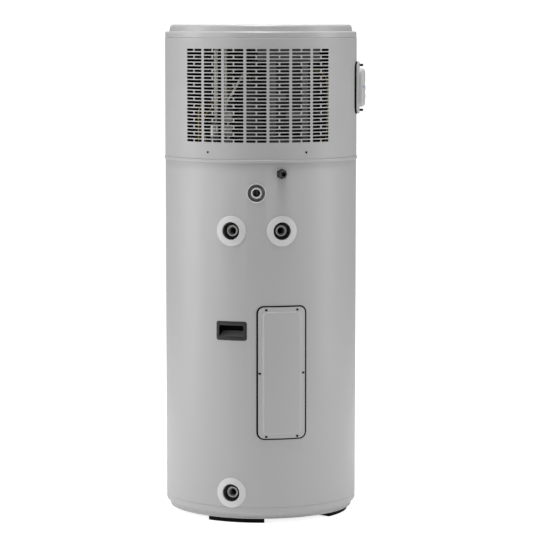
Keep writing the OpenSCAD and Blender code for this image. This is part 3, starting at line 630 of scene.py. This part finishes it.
def seam_bead():
    """The rounded bead between the casing and the hood."""
    low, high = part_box("seam_ring")
    z0, z1 = low[2], high[2]
    inner, foot, crown = CASING_R - 3 * MM, CASING_R + 1.5 * MM, CASING_R + 2.9 * MM
    shoulder = z0 + 7.6 * MM
    profile = [(inner, z0), (foot, z0)]
    profile += fillet(crown, z0 + 1.6 * MM, foot, z0, False)[::-1]
    profile += [(crown, shoulder)]
    profile += fillet(crown, shoulder, CASING_R - 0.8 * MM, z1, True, 9)
    profile += [(inner, z1)]
    fit(lathe("seam_bead", profile, closed=True, segments=360), "seam_ring")


def lid():
    """A shallow lid in two steps, each with a rounded edge."""
    low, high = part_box("top_lid")
    r, z0, z1 = high[0], low[2], high[2]
    ledge = z0 + 19.8 * MM
    cap = r - 13.8 * MM
    top = cap - 3.2 * MM
    profile = in_mm([(-3, 0), (-0.6, 0), (0, 0.6)], r, z0)
    profile += fillet(r, ledge - 5 * MM, r - 5 * MM, ledge, True)
    profile += fillet(cap + 1.6 * MM, ledge, cap, ledge + 1.6 * MM, False, 3)
    profile += fillet(top + 0.5 * MM, z1 - 10.5 * MM, top - 9 * MM, z1, True, 10)
    profile += [(top - 30 * MM, z1), (0, z1), (0, z1 - 3 * MM), (top - 10 * MM, z1 - 3 * MM),
                (top - 3.5 * MM, z1 - 12 * MM), (cap - 3 * MM, ledge - 3 * MM)]
    profile += in_mm([(-5, -3), (-3, -5)], r, ledge)
    fit(lathe("lid_shell", profile, closed=True, segments=360), "top_lid")


# --- Hood with its grille ---

BAYS = 7
ROWS = 27
BAY_PITCH = 13.43          # degrees
BAY_ANGLE = 11.9           # degrees of slot in each bay
BRIDGE_ANGLE = 0.72        # degrees of bridge in the middle of every other row
CELL_STEPS = 12            # faces across a bay
ROW_PITCH = 11.515 * MM
SLOT_H = 8.0 * MM
SLOT_CORNER = 2.6 * MM
GRILLE_DROP = 40.0 * MM    # from the hood's top edge to the middle of the first row
HOOD_RIM = 1.6 * MM        # radius of the hood's rounded top edge
HOOD_SHEET = 2.0 * MM
HALF_TURN = 89.97          # degrees from the middle of a half of the hood to its edge
PLAIN_STEPS = 34           # faces across the plain sheet beside the grille


def spaced(first, last, count):
    """The ends of count even steps from the first value to the last."""
    return [first + (last - first) * i / count for i in range(count + 1)]


def slot_cell(a0, a1, z0, z1, s0, s1, steps):
    """Faces between a cell of the grille and the rounded slot in it, as angle and height points."""
    side = 4
    corner_a = math.degrees(SLOT_CORNER / HOOD_R)
    middle = (z0 + z1) / 2
    low, high = middle - SLOT_H / 2, middle + SLOT_H / 2
    q = 1 - math.sqrt(0.5)

    def inset(a, b, corner, n):
        """n steps from a to b, the first and last of them shortened for a round corner."""
        return [a + corner * q] + spaced(a + corner, b - corner, n - 2) + [b - corner * q]

    across, up = inset(s0, s1, corner_a, steps), inset(low, high, SLOT_CORNER, side)
    edge_a, edge_z = spaced(a0, a1, steps), spaced(z0, z1, side)
    outer = ([(a, z0) for a in edge_a[:-1]] + [(a1, z) for z in edge_z[:-1]]
             + [(a, z1) for a in edge_a[:0:-1]] + [(a0, z) for z in edge_z[:0:-1]])
    inner = ([(across[0], up[0])] + [(a, low) for a in across[1:-1]]
             + [(across[-1], up[0])] + [(s1, z) for z in up[1:-1]]
             + [(across[-1], up[-1])] + [(a, high) for a in across[-2:0:-1]]
             + [(across[0], up[-1])] + [(s0, z) for z in up[-2:0:-1]])
    return list(zip(outer, outer[1:] + outer[:1], inner[1:] + inner[:1], inner))


def grid(columns, heights):
    """Plain cells between columns of angles and rows of heights."""
    return [((a, low), (b, low), (b, high), (a, high))
            for a, b in zip(columns, columns[1:]) for low, high in zip(heights, heights[1:])]


def hood_cells(z0, z1):
    """Every cell of half the hood's sheet, unrolled as angle and height points."""
    top = z1 - GRILLE_DROP + ROW_PITCH / 2
    rows = [top - ROW_PITCH * i for i in range(ROWS + 1)]
    bays = [BAY_PITCH * (i - BAYS / 2) for i in range(BAYS + 1)]
    cells = []
    for r in range(ROWS):
        for a0, a1 in zip(bays, bays[1:]):
            mid = (a0 + a1) / 2
            s0, s1 = mid - BAY_ANGLE / 2, mid + BAY_ANGLE / 2
            if r % 2 == 0:
                w = BRIDGE_ANGLE / 2
                cells += slot_cell(a0, mid, rows[r + 1], rows[r], s0, mid - w, CELL_STEPS // 2)
                cells += slot_cell(mid, a1, rows[r + 1], rows[r], mid + w, s1, CELL_STEPS // 2)
            else:
                cells += slot_cell(a0, a1, rows[r + 1], rows[r], s0, s1, CELL_STEPS)
    side_z = spaced(rows[-1], rows[0], ROWS * 4)
    grille_a = spaced(bays[0], bays[-1], BAYS * CELL_STEPS)
    left_a = spaced(-HALF_TURN, bays[0], PLAIN_STEPS)
    right_a = [-a for a in reversed(left_a)]
    every = left_a + grille_a[1:] + right_a[1:]
    rim_z = [z1 - HOOD_RIM + HOOD_RIM * math.sin(math.radians(a)) for a in range(0, 91, 18)]
    return (cells + grid(left_a, side_z) + grid(right_a, side_z)
            + grid(every, [z0, z0 + 0.6 * MM, rows[-1]]) + grid(every, [rows[0]] + rim_z))


def hood_half(node, facing):
    """Half the hood, with seven bays of slots and a rounded top edge."""
    span = wall_span(node, facing)
    z0, z1 = span["low"], span["high"]
    index, verts, faces = {}, [], []
    for cell in hood_cells(z0, z1):
        face = []
        for a, z in cell:
            key = (round(a, 5), round(z, 7))
            if key not in index:
                index[key] = len(verts)
                over = max(z - z1 + HOOD_RIM, 0)
                rounded = HOOD_R - HOOD_RIM + math.sqrt(max(HOOD_RIM * HOOD_RIM - over * over, 0))
                verts.append(on_wall(facing + a, 0, z, rounded))
            face.append(index[key])
        faces.append(tuple(face))
    shell = new_object(node + "_shell", verts, faces)
    dress(shell, "hood_plastic", "hood_inside_painted_shade")
    # the inside faces and slot edges take the second look, near-black painted shade inside the hood
    modify(shell, "SOLIDIFY", thickness=HOOD_SHEET, offset=-1, material_offset=1)
    bake(shell, 40)
    fit(shell, node)


# --- Water ports, drain and gland ---

COLLAR_BORE = 29.4 * MM
TRIM_BORE = 29.2 * MM       # through the casing behind the drain's trim ring
MOUTH_DEPTH = 12 * MM       # from the casing in to the sockets' mouths
SOCKET_R = 18.3 * MM
SOCKET_LENGTH = 68 * MM
BOOT_DEPTH = 36.5 * MM
BOOT_BORE = 19.2 * MM
THREAD_PITCH = 1.814 * MM
THREADS = 9


def collar(name, angle, z):
    """A white flange that follows the casing, with a black sleeve and floor round the socket."""
    face = wall_span(name)["outer"]
    r = (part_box(name)[1][2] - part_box(name)[0][2]) / 2
    edge = 2.2 * MM
    start = CASING_R + 0.6 * MM
    profile = [(COLLAR_BORE + 1.9 * MM, CASING_R + LIFT_OFF, True), (r - 0.3 * MM, CASING_R + LIFT_OFF, True)]
    for a in range(0, 76, 15):
        t = math.radians(a)
        profile.append((r - edge + edge * math.cos(t), start + edge * math.sin(t), True))
    profile += in_mm([(3, -0.15), (1.6, 0), (0.6, -0.3), (0.1, -0.9), (0, -1.8), (0, -8), (1.9, -8)],
                     COLLAR_BORE, face, follow=True)
    fit(radial_lathe(name + "_flange", angle, z, profile, segments=128), name)
    floor = CASING_R - BOOT_DEPTH
    sleeve = in_mm([(1.8, -3.5), (0.1, -3.5)], COLLAR_BORE, CASING_R, follow=True)
    sleeve += in_mm([(-0.8, 3), (-2.4, 1.9)], COLLAR_BORE, floor)
    sleeve += [(BOOT_BORE, floor + 1.8 * MM), (BOOT_BORE, floor), (COLLAR_BORE + 1.8 * MM, floor)]
    boot = radial_lathe(name + "_boot", angle, z, sleeve)
    add_trim(boot, "port_rubber")


def pipe_socket(name, angle, z, bore):
    """A steel pipe socket with a chamfered mouth and the ridges of its thread inside."""
    mouth = CASING_R - MOUTH_DEPTH
    root = mouth - SOCKET_LENGTH
    profile = [(SOCKET_R, root)] + in_mm([(0, -0.9), (-0.3, -0.3), (-0.9, 0)], SOCKET_R, mouth)
    profile += in_mm([(14.7, 0), (14.2, -0.5), (13.3, -3)], 0, mouth)
    crest = bore + 1.1 * MM
    for i in range(THREADS):
        y = mouth - 3 * MM - THREAD_PITCH * i
        profile += [(bore, y - THREAD_PITCH * 0.28), (bore, y - THREAD_PITCH * 0.42),
                    (crest, y - THREAD_PITCH * 0.92), (crest, y - THREAD_PITCH)]
    profile += [(bore, mouth - 24 * MM), (bore, root)]
    pipe = radial_lathe(name + "_pipe", angle, z, profile)
    dress(pipe, "socket_steel", "socket_bore_painted_shade")
    # faces deep inside the bore take the darker grey, painted shade in the socket
    a = math.radians(angle)
    for face in pipe.data.polygons:
        c = face.center
        across, along = c.x * math.cos(a) + c.y * math.sin(a), c.x * math.sin(a) - c.y * math.cos(a)
        if math.hypot(across, c.z - z) < 14 * MM and along < mouth - 1 * MM:
            face.material_index = 1
    fit(pipe, name)


def condensate_port():
    """A trim ring on the casing, a rubber grommet in it and the elbow of the drain tube."""
    angle, z, bore = DRAIN["angle"], DRAIN["z"], DRAIN["bore"]
    r = CASING_R
    face = wall_span("drain_trim_ring")["outer"]
    rim = in_mm([(29, 0.05), (32.2, 0.05)], 0, r, follow=True)
    rim += in_mm([(32.2, -1.1), (31.7, -0.3), (30.9, 0), (30, -0.1), (29.2, -0.9)], 0, face, follow=True)
    fit(radial_lathe("drain_rim", angle, z, rim, segments=128), "drain_trim_ring")
    seal = in_mm([(18.1, -9), (28.7, -9), (28.7, -1.8), (28.1, -0.6), (27, 0), (25.4, -0.2), (24.6, -1.2),
                  (24.2, -3.2), (23.2, -3.2), (22.9, -1), (22.2, 0.4), (20.6, 1), (19.2, 0.6), (18.1, -0.8)],
                 0, r)
    fit(radial_lathe("drain_seal", angle, z, seal, segments=128), "drain_grommet")
    low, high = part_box("condensate_outlet_tube")
    elbow_y = -high[1] + 16 * MM
    spout = [(bore, elbow_y), (bore, r - 8 * MM)]
    spout += in_mm([(13.3, -4), (13.3, 1.2), (13.8, 2), (14.8, 2.4), (16.4, 2.2), (17.5, 1.3), (18, 0),
                    (18, -11.9), (15, -12.4)], 0, r)
    spout += [(15 * MM, elbow_y)]
    upright = [(16 * MM, low[2]), (16 * MM, high[2] - 0.6 * MM), (15.4 * MM, high[2]), (13 * MM, high[2]),
               (13 * MM, low[2] + 6 * MM), (0, low[2] + 4 * MM), (0, low[2])]
    tube = [radial_lathe("spout", angle, z, spout),
            lathe("upright", upright, segments=64, place=lambda c, s, rr, h: (rr * c, rr * s - elbow_y, h))]
    fit(joined("drain_tube", tube), "condensate_outlet_tube")


def cable_gland():
    """A hexagon against the casing, a threaded shank and a hexagonal dome nut."""
    inlet = port_place(MOUNTS["cable_inlet"])
    angle, z, bore = inlet["angle"], inlet["z"], inlet["bore"]
    r = CASING_R

    def tube(points):
        """A closed outline from front to back with a bore through it."""
        outline = in_mm(points, 0, r)
        return [(bore, outline[-1][1]), (bore, outline[0][1])] + outline + [(bore, outline[-1][1])]

    body = tube([(16.4, 10), (17.6, 9.2), (17.6, 1.8), (17, 1.1)])
    shank = tube([(10.3, 19.9), (10.3, 9.9)])
    neck = tube([(10, 1.9), (10, -15.9)])
    made = [radial_lathe("part", angle, z, outline, segments=72, apothem=flat, twist=30)
            for outline, flat in ((body, 15.2 * MM), (shank, None), (neck, None))]
    fit(joined("gland_body", made), "cable_gland_body")
    nose = r + 35 * MM
    crown_r = 8.6 * MM
    nut = [(bore, nose - 3 * MM)] + in_mm([(7, -0.4), (7.6, 0), (8.6, -0.2)], 0, nose)
    for a in (20, 40, 60, 80, 90):
        t = math.radians(a)
        nut.append((crown_r + 3.6 * MM * math.sin(t), nose - 6 * MM + 5.8 * MM * math.cos(t)))
    nut += in_mm([(12.8, 24.4), (14.2, 24), (15.4, 23.2), (15.4, 11.8), (14.4, 11.1), (10.5, 11.1),
                  (10.5, 19.9)], 0, r)
    nut += [(bore, r + 20 * MM)]
    dome_nut = radial_lathe("gland_nut", angle, z, nut, segments=72, apothem=13.34 * MM)
    fit(dome_nut, "cable_gland_nut")


# --- Handles and access cover ---

POCKET_W = 84 * MM
POCKET_H = 36 * MM
BEZEL_W = 106 * MM
HANDLE_HOLE_W = 92 * MM     # through the casing behind the bezel
HANDLE_HOLE_H = 50 * MM
SEAL_WIDTH = 13 * MM        # of the gasket behind the access cover


def handle(node):
    """A moulded pocket: a raised bezel, a mouth with round edges and a floor that slopes up inward."""
    spot = HANDLES[node]
    face, r = spot["outer"], CASING_R

    def deep(w, h, corner, depth, lift):
        """A flat loop this far behind the casing, its middle raised by lift; all in mm."""
        return (POCKET_W + w * MM, h * MM, corner * MM, r - depth * MM, lift * MM, True)

    loops = [deep(-5, 21, 3, 37.5, 10), deep(-2, 25, 4, 36, 9.5), deep(-1, 31, 4, 22, 5)]
    loops += shrunk(POCKET_W, POCKET_H, [
        (0, 4.5, r - 4 * MM), (0, 4.5, face - 3 * MM), (-0.8, 5, face - 1 * MM), (-3.4, 6, face - 0.1 * MM)])
    loops += shrunk(BEZEL_W, spot["height"], [
        (7, 6.5, face), (3, 7.5, face - 0.3 * MM), (0.8, 7.8, face - 1.2 * MM), (0, 8, r + LIFT_OFF)])
    loops += shrunk(POCKET_W, POCKET_H, [(-5, 6, r + LIFT_OFF), (-5, 6, r - 6 * MM)])
    loops += [deep(4, 36, 5, 22, 5), deep(3, 30, 5, 38, 9.5), deep(1, 28, 4, 40, 9.5)]
    moulding = wall_stack(node + "_moulding", spot["angle"], spot["z"], loops)
    dress(moulding, "black_plastic", "pocket_floor_painted_light", "pocket_hollow_painted_shade")
    # inside the pocket, faces turned up get a lighter grey as painted light, the rest near black as painted
    # shade
    for panel in moulding.data.polygons:
        depth = r - math.hypot(panel.center.x, panel.center.y)
        if depth > 1 * MM and abs(panel.center.z - spot["z"]) < POCKET_H / 2 + 1 * MM:
            panel.material_index = 1 if panel.normal.z > 0.6 else 2
    fit(moulding, node)


def access_cover():
    """A gasket with rounded edges, and over it a plate with a raised panel."""
    gasket = wall_span("access_gasket")
    cover = wall_span("access_cover")
    angle, z = gasket["angle"], gasket["z"]
    seal, r = gasket["outer"], CASING_R
    bead = shrunk(gasket["width"], gasket["height"], [
        (26, 12, r + LIFT_OFF), (0.6, 24, r + LIFT_OFF), (0, 24.5, r + 0.8 * MM),
        (0.4, 24.3, seal - 0.6 * MM), (2.2, 23.5, seal - LIFT_OFF), (26, 12, seal - LIFT_OFF)])
    fit(wall_stack("access_seal", angle, z, bead, closed=True), "access_gasket")
    w, h = cover["width"], cover["height"]
    plate, top = seal + 1.2 * MM, cover["outer"]
    loops = shrunk(w, h, [(1, 19.5, seal), (0.2, 20, seal + 0.2 * MM), (0, 20, plate - 0.5 * MM),
                          (0.8, 19.6, plate)])
    slope = ((0, 16.5, 0), (1.6, 15.7, 0.06), (3.2, 14.9, 0.2), (8.4, 12.4, 0.84), (10.2, 11.5, 0.96),
             (12.8, 10.2, 1))
    loops += shrunk(w - 25.8 * MM, h - 27.4 * MM,
                    [(off, corner, plate + (top - plate) * up) for off, corner, up in slope])
    fit(wall_stack("access_panel", angle, z, loops), "access_cover")


# A screw's head from its drive recess out to its rim, as parts of its radius and of its dome
SCREW_OUTLINE = ((0, 0.35), (0.38, 0.4), (0.42, 0.97), (0.55, 0.95), (0.8, 0.75), (0.97, 0.4), (1, 0.15))


def screw_heads(name, node, reach, wall_r, head_r, dome, shank=0):
    """Domed heads with a drive recess, on a plain shank, one at each screw of a CAD node."""
    profile = [(head_r * part, wall_r + shank + dome * up) for part, up in SCREW_OUTLINE]
    profile += [(head_r, wall_r), (0, wall_r)]
    made = [radial_lathe("head", angle_of(c), c.z, profile, closed=False, segments=32)
            for c in solid_centres(node, reach)]
    fit(joined(name, made), node, look="black_screw")


# --- Control pod ---

POD_W = 116 * MM
POD_H = 129 * MM
POD_WALL = 2.5 * MM
POD_ROUND = 11.5 * MM       # radius of the edge round the pod's face


def control_pod():
    """A gasket and a flanged box with round edges, open for the display and the buttons."""
    flange = wall_span("pod_housing", 90)
    seal = wall_span("pod_gasket", 90)
    angle, z = seal["angle"], seal["z"]
    gw, gh = seal["width"], seal["height"]
    base, face = seal["outer"], flange["outer"]
    hole = (gw - 36 * MM, gh - 52 * MM, 10 * MM)
    bead = [(*hole, HOOD_R + LIFT_OFF)]
    bead += shrunk(gw, gh, [(0.6, 26, HOOD_R + LIFT_OFF), (0, 26.3, HOOD_R + 1 * MM),
                            (0.5, 26, base - 0.8 * MM), (2.4, 25, base)])
    bead += [(*hole, base)]
    fit(wall_stack("pod_seal", angle, z, bead, closed=True), "pod_gasket")

    loops = shrunk(POD_W, POD_H, [
        (22, 10, face - POD_WALL), (9, 15, face - 8 * MM), (6, 17, base + LIFT_OFF)])
    loops += shrunk(flange["width"], flange["height"], [
        (0, 26, base + LIFT_OFF), (0, 26, base + 2.6 * MM), (0.8, 25.6, base + 3.6 * MM),
        (2.6, 24.8, base + 4 * MM)])
    loops += shrunk(POD_W, POD_H, [
        (-1.6, 20.8, base + 4 * MM), (-0.4, 20.2, base + 4.3 * MM), (0, 20, base + 5 * MM)])
    for a in range(0, 91, 10):
        t = math.radians(a)
        off = 2 * POD_ROUND * (1 - math.cos(t))
        out = face - POD_ROUND + POD_ROUND * math.sin(t)
        loops.append((POD_W - off, POD_H - off, 20 * MM - off * 0.4, out))
    box = wall_stack("pod_case", angle, z, loops)
    cutters = [push_button_hole(middle_of(node)) for node in ("button_power", "button_up", "button_down")]
    lens = wall_span("display_lens", 90)
    lw, lh = lens["width"], lens["height"]
    opening = (lw + 0.4 * MM, lh + 0.4 * MM, 3 * MM)
    cutters.append(wall_stack("cutter", angle, lens["z"], [
        (*opening, face - 8 * MM, 0, True), (*opening, face + 8 * MM, 0, True)]))
    cut(box, joined("cutters", cutters))
    fit(box, "pod_housing")
    outer = lens["outer"]
    glass = shrunk(lw, lh, [
        (0, 2.8, lens["inner"]), (0, 2.8, outer - 0.5 * MM), (0.4, 2.6, outer - 0.12 * MM), (1, 2.4, outer)])
    fit(wall_stack("display_window", angle, lens["z"], glass), "display_lens")
    status_light(face - POD_ROUND, POD_ROUND - POD_W / 2, middle_of("button_power")[1] + 4 * MM)


def status_light(x, y, z):
    """A small upright light guide let into the case's round edge on the grille's side."""
    tall, half_angle, towards = 9 * MM, 15, -47
    across, up = 8, 12
    verts = []
    for k in range(up + 1):
        v = 2 * k / up - 1
        reach = math.sqrt(max(1 - v ** 4, 0.02))
        for j in range(across + 1):
            u = 2 * j / across - 1
            t = math.radians(towards + half_angle * u * reach)
            swell = POD_ROUND - 0.6 * MM + 1.3 * MM * (1 - u ** 4) * (1 - v ** 4)
            verts.append((x + swell * math.cos(t), y + swell * math.sin(t), z + tall / 2 * v))
    row = across + 1
    faces = [(k * row + j, k * row + j + 1, (k + 1) * row + j + 1, (k + 1) * row + j)
             for k in range(up) for j in range(across)]
    guide = new_object("status_light", verts, faces)
    modify(guide, "SOLIDIFY", thickness=1.5 * MM, offset=-1)
    bake(guide)
    add_trim(guide, "blue_button")


def middle_of(node):
    """The middle of a node across the pod's face, as y and z."""
    low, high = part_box(node)
    return ((low[1] + high[1]) / 2, (low[2] + high[2]) / 2)


def along_x(y0, z0):
    """Places a turned profile about a line along X through (y0, z0)."""
    return lambda c, s, r, h: (h, y0 + r * c, z0 + r * s)


BUTTON_R = 7.3 * MM


def push_button_hole(centre):
    """A cutter for a button's opening in the pod's face."""
    low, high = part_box("pod_housing")
    r = BUTTON_R + 0.3 * MM
    ends = [(r, low[0] + 12 * MM), (r, high[0] + 5 * MM)]
    return lathe("cutter", ends, segments=48, place=along_x(*centre))


def push_button(node, body):
    """A button cap with a dished top, its retaining flange and its stem."""
    low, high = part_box(node)
    x0, x1 = low[0], high[0]
    profile = in_mm([(0, 0), (3, 0), (3, 2.4)], 0, x0)
    profile += in_mm([(1.4, 2.4), (1.4, 3.8), (0, 3.8)], BUTTON_R, x0)
    profile += in_mm([(0, -0.9), (-0.3, -0.3), (-0.9, 0), (-2, -0.1), (-4.5, -0.45)], BUTTON_R, x1)
    profile += [(0, x1 - 0.6 * MM)]
    fit(lathe(node + "_cap", profile, segments=64, place=along_x(*middle_of(node))), node, body)


# --- Fan ---

BLADES = 5
HUB_R = 34 * MM
SHAFT_R = 4.05 * MM
BLADE_STATIONS = 12         # sections from a blade's root to its tip
BLADE_STEPS = 10            # faces across a section
ROOT_PITCH = 36             # degrees
TIP_PITCH = 19              # degrees
BLADE_SWEEP = 24            # degrees that the tip leads the root
BLADE_CHORD = 46            # mm at the root
CHORD_GROWTH = 26           # mm more at the tip
TIP_LOSS = 16               # mm of chord lost over the last fifth of a blade


def blade_point(t, u, side, tip, turned):
    """A point of a blade: t from root to tip, u across it from -0.5 to 0.5, on one of its sides.

    Gives the radius, the angle about the hub and the place along the shaft.
    """
    radius = HUB_R - 2 * MM + (tip - HUB_R + 1.5 * MM) * t
    pitch = math.radians(ROOT_PITCH + (TIP_PITCH - ROOT_PITCH) * t)
    chord = (BLADE_CHORD + CHORD_GROWTH * t - TIP_LOSS * max(0, 5 * t - 4)) * MM
    camber = 3 * MM * (1 - 4 * u * u)
    half_thickness = 0.9 * MM * (1 - 1.6 * abs(u))
    along = u * chord * math.sin(pitch) * 0.62 + camber + side * half_thickness
    turn = math.radians(turned + BLADE_SWEEP * t * t) + u * chord * math.cos(pitch) / radius
    return radius, turn, along - 2 * MM


def blade(middle, tip, turned):
    """One swept, twisted blade, turned about the shaft by this many degrees."""
    verts = []
    for side in (-1, 1):
        for k in range(BLADE_STATIONS + 1):
            for j in range(BLADE_STEPS + 1):
                t, u = k / BLADE_STATIONS, j / BLADE_STEPS - 0.5
                radius, turn, along = blade_point(t, u, side, tip, turned)
                verts.append((radius * math.cos(turn), middle.y + along, middle.z + radius * math.sin(turn)))
    row = BLADE_STEPS + 1
    skin = (BLADE_STATIONS + 1) * row
    faces = []
    for first in (0, skin):
        for k in range(BLADE_STATIONS):
            for j in range(BLADE_STEPS):
                a = first + k * row + j
                faces.append((a, a + 1, a + row + 1, a + row))
    rim = [k * row for k in range(BLADE_STATIONS + 1)]
    rim += [BLADE_STATIONS * row + j for j in range(1, row)]
    rim += [k * row + BLADE_STEPS for k in range(BLADE_STATIONS - 1, -1, -1)]
    rim += list(range(BLADE_STEPS - 1, 0, -1))
    for a, b in zip(rim, rim[1:] + rim[:1]):
        faces.append((a, b, b + skin, a + skin))
    return new_object("blade", verts, faces)


def fan():
    """Five blades on a hub."""
    low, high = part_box("fan_impeller")
    middle = (Vector(low) + Vector(high)) / 2
    tip = (high[2] - low[2]) / 2
    made = [blade(middle, tip, 360 / BLADES * i) for i in range(BLADES)]
    y0, y1 = low[1] + 3 * MM, middle.y + 7 * MM
    profile = [(SHAFT_R, y0 + 1 * MM), (SHAFT_R, y1), (8 * MM, y1), (8 * MM, y0 + 4 * MM)]
    profile += [(HUB_R - 3 * MM, y0 + 5 * MM)] + in_mm([(-2.5, -1), (0, -1)], HUB_R, y1)
    profile += in_mm([(0, 5), (-1.5, 1.5), (-5, 0)], HUB_R, y0) + [(9 * MM, y0)]
    made.append(lathe("hub", profile, closed=True, segments=72,
                      place=lambda c, s, r, h: (r * c, h, middle.z + r * s)))
    fit(joined("fan_wheel", made), "fan_impeller", body="fan")


# --- CAD nodes that stay ---

# Nodes with rounded edges, and each one's radius in millimetres
ROUNDED_NODES = {
    "feet": 1.6, "foot_bolts": 0.5, "cable_gland_locknut": 0.4, "element_flange": 0.6, "element_bolts": 0.4,
    "safety_thermostat": 1.0, "electronics_box": 1.6, "expansion_valve": 0.8, "compressor_grommets": 0.6,
    "fan_shroud": 0.7, "fan_motor": 1.0, "deck_plate": 0.4, "filter_drier": 1.0,
    "accumulator": 2.0, "magnesium_anode": 0.6}
SOFTENED_NODES = ("refrigerant_pipes", "wire_loom", "condenser_coil")
# Nodes painted near black as painted shade behind the grille, in place of their own look
SHADE_BLACKENED_NODES = ("electronics_box", "fan_shroud")
WELD_GAP = 0.01 * MM


def dress_cad_nodes():
    """Gives every CAD node its look, and rounds the edges that a hand would meet."""
    for name, obj in frame["nodes"].items():
        # the shade-blackened nodes take painted shade in place of their own look
        dress(obj, "shade_black_plastic" if name in SHADE_BLACKENED_NODES else SLOT_OF[name])
        if name in ROUNDED_NODES:
            modify(obj, "WELD", merge_threshold=WELD_GAP)
            modify(obj, "BEVEL", width=ROUNDED_NODES[name] * MM, segments=2, limit_method="ANGLE",
                   angle_limit=math.radians(40), harden_normals=True)
        if name in SOFTENED_NODES:
            modify(obj, "WELD", merge_threshold=WELD_GAP)
            modify(obj, "SUBSURF", levels=1, render_levels=1)


# --- Room, light and camera ---

# Each soft box: its name, place, width and height, and power in watts
LIGHTS = (
    ("left_side", (-3.2, -0.4, 1.3), (1.4, 3.4), 53.5),
    ("left_front", (-2.9, -2.6, 1.6), (1.4, 2.6), 22),
    ("right_side", (3.2, -0.4, 1.3), (1.4, 3.4), 45),
    ("front_top", (0.2, -3.4, 4.4), (2.4, 1.2), 15.5),
    ("top", (0, -0.6, 4.4), (1.1, 1.1), 92),
    ("back_top", (0, 2.4, 4.0), (2.4, 1.2), 44))
ROOM_STRENGTH = 0.29        # of the room's light on the object
BACKDROP_STRENGTH = 1.1     # of the room where the camera sees it
FLOOR_GLOW = 0.185          # of the floor's light on the object
FLOOR_WHITE = 0.78          # of the floor where the camera sees it
FLOOR_R = 7.0
FLOOR_THICKNESS = 0.02

LENS = 168.22               # millimetres, on a 36 mm sensor
SHIFT = (0.01693, 0.00093)
CAMERA_DISTANCE = 8.6187    # from the object's axis
CAMERA_HEIGHT = 1.6679
CAMERA_TURN = math.radians(2.6)
CAMERA_PITCH = math.radians(5.621)


def floor():
    """A wide pale floor under the object."""
    outline = [(0, -FLOOR_THICKNESS), (FLOOR_R, -FLOOR_THICKNESS), (FLOOR_R, 0), (0, 0)]
    obj = lathe("floor", outline, segments=96)
    look = Look(grey(0.9), 0.9, specular=0.1)
    look.mat.name = "floor_white"
    look.tint(look.noise(0.8, 3), grey(0.88))
    look.glow(grey(1.0), FLOOR_GLOW)
    ray = look.tree.nodes.new("ShaderNodeLightPath").outputs["Is Camera Ray"]
    look.link(look.ramp(ray, FLOOR_GLOW, FLOOR_WHITE, 0, 1), look.shader.inputs["Emission Strength"])
    obj.data.materials.append(look.mat)


def softbox(name, location, target, size, power):
    """A rectangular area light that faces its target."""
    light = bpy.data.lights.new(name, "AREA")
    light.shape = "RECTANGLE"
    light.size, light.size_y = size
    light.energy = power
    obj = bpy.data.objects.new(name, light)
    obj.location = location
    aim = Vector(target) - Vector(location)
    obj.rotation_euler = aim.to_track_quat("-Z", "Y").to_euler()
    bpy.context.scene.collection.objects.link(obj)


def studio():
    """Soft boxes at both sides and above, in a plain light room."""
    middle = (0, 0, cad_box[1][2] / 2)
    for name, place, size, power in LIGHTS:
        softbox(name, place, middle, size, power)
    world = bpy.data.worlds.new("room")
    bpy.context.scene.world = world
    world.use_nodes = True
    tree = world.node_tree
    room = tree.nodes["Background"]
    backdrop = tree.nodes.new("ShaderNodeBackground")
    for source, strength in ((room, ROOM_STRENGTH), (backdrop, BACKDROP_STRENGTH)):
        source.inputs["Color"].default_value = (1, 1, 1, 1)
        source.inputs["Strength"].default_value = strength
    path = tree.nodes.new("ShaderNodeLightPath")
    mix = tree.nodes.new("ShaderNodeMixShader")
    tree.links.new(path.outputs["Is Camera Ray"], mix.inputs["Fac"])
    tree.links.new(room.outputs["Background"], mix.inputs[1])
    tree.links.new(backdrop.outputs["Background"], mix.inputs[2])
    tree.links.new(mix.outputs["Shader"], tree.nodes["World Output"].inputs["Surface"])


def camera():
    """A long lens a little to the right of the grille and just above the hood."""
    cam = bpy.data.cameras.new("camera")
    cam.sensor_width = 36
    cam.lens = LENS
    cam.shift_x, cam.shift_y = SHIFT
    cam.clip_end = 60
    obj = bpy.data.objects.new("camera", cam)
    obj.location = (CAMERA_DISTANCE * math.sin(CAMERA_TURN), -CAMERA_DISTANCE * math.cos(CAMERA_TURN),
                    CAMERA_HEIGHT)
    obj.rotation_euler = (math.pi / 2 - CAMERA_PITCH, 0, CAMERA_TURN)
    bpy.context.scene.collection.objects.link(obj)
    bpy.context.scene.camera = obj


# --- The model ---

camera()
studio()
floor()
bpy.context.scene.view_settings.view_transform = "Standard"

dress_cad_nodes()
base_pan()
casing()
seam_bead()
lid()
hood_half("hood_rear", 0)
hood_half("hood_front", 180)
for port_name, port in PORTS.items():
    collar(port_name + "_collar", port["angle"], port["z"])
    pipe_socket(port_name + "_socket", port["angle"], port["z"], port["bore"])
condensate_port()
cable_gland()
handle("handle_recess_rear")
handle("handle_recess_front")
access_cover()
screw_heads("cover_screws", "access_screws", 12 * MM, wall_span("access_cover")["outer"] - 3.8 * MM,
            head_r=3.6 * MM, dome=2.2 * MM)
screw_heads("hood_screw_heads", "hood_screws", 14 * MM, HOOD_R + LIFT_OFF, head_r=3.5 * MM, dome=2.4 * MM)
screw_heads("pod_screw_heads", "pod_screws", 45 * MM, wall_span("pod_gasket", 90)["outer"] + 4.05 * MM,
            head_r=4.2 * MM, dome=2.4 * MM, shank=9.8 * MM)
control_pod()
push_button("button_power", "power_button")
push_button("button_up", "up_button")
push_button("button_down", "down_button")
fan()
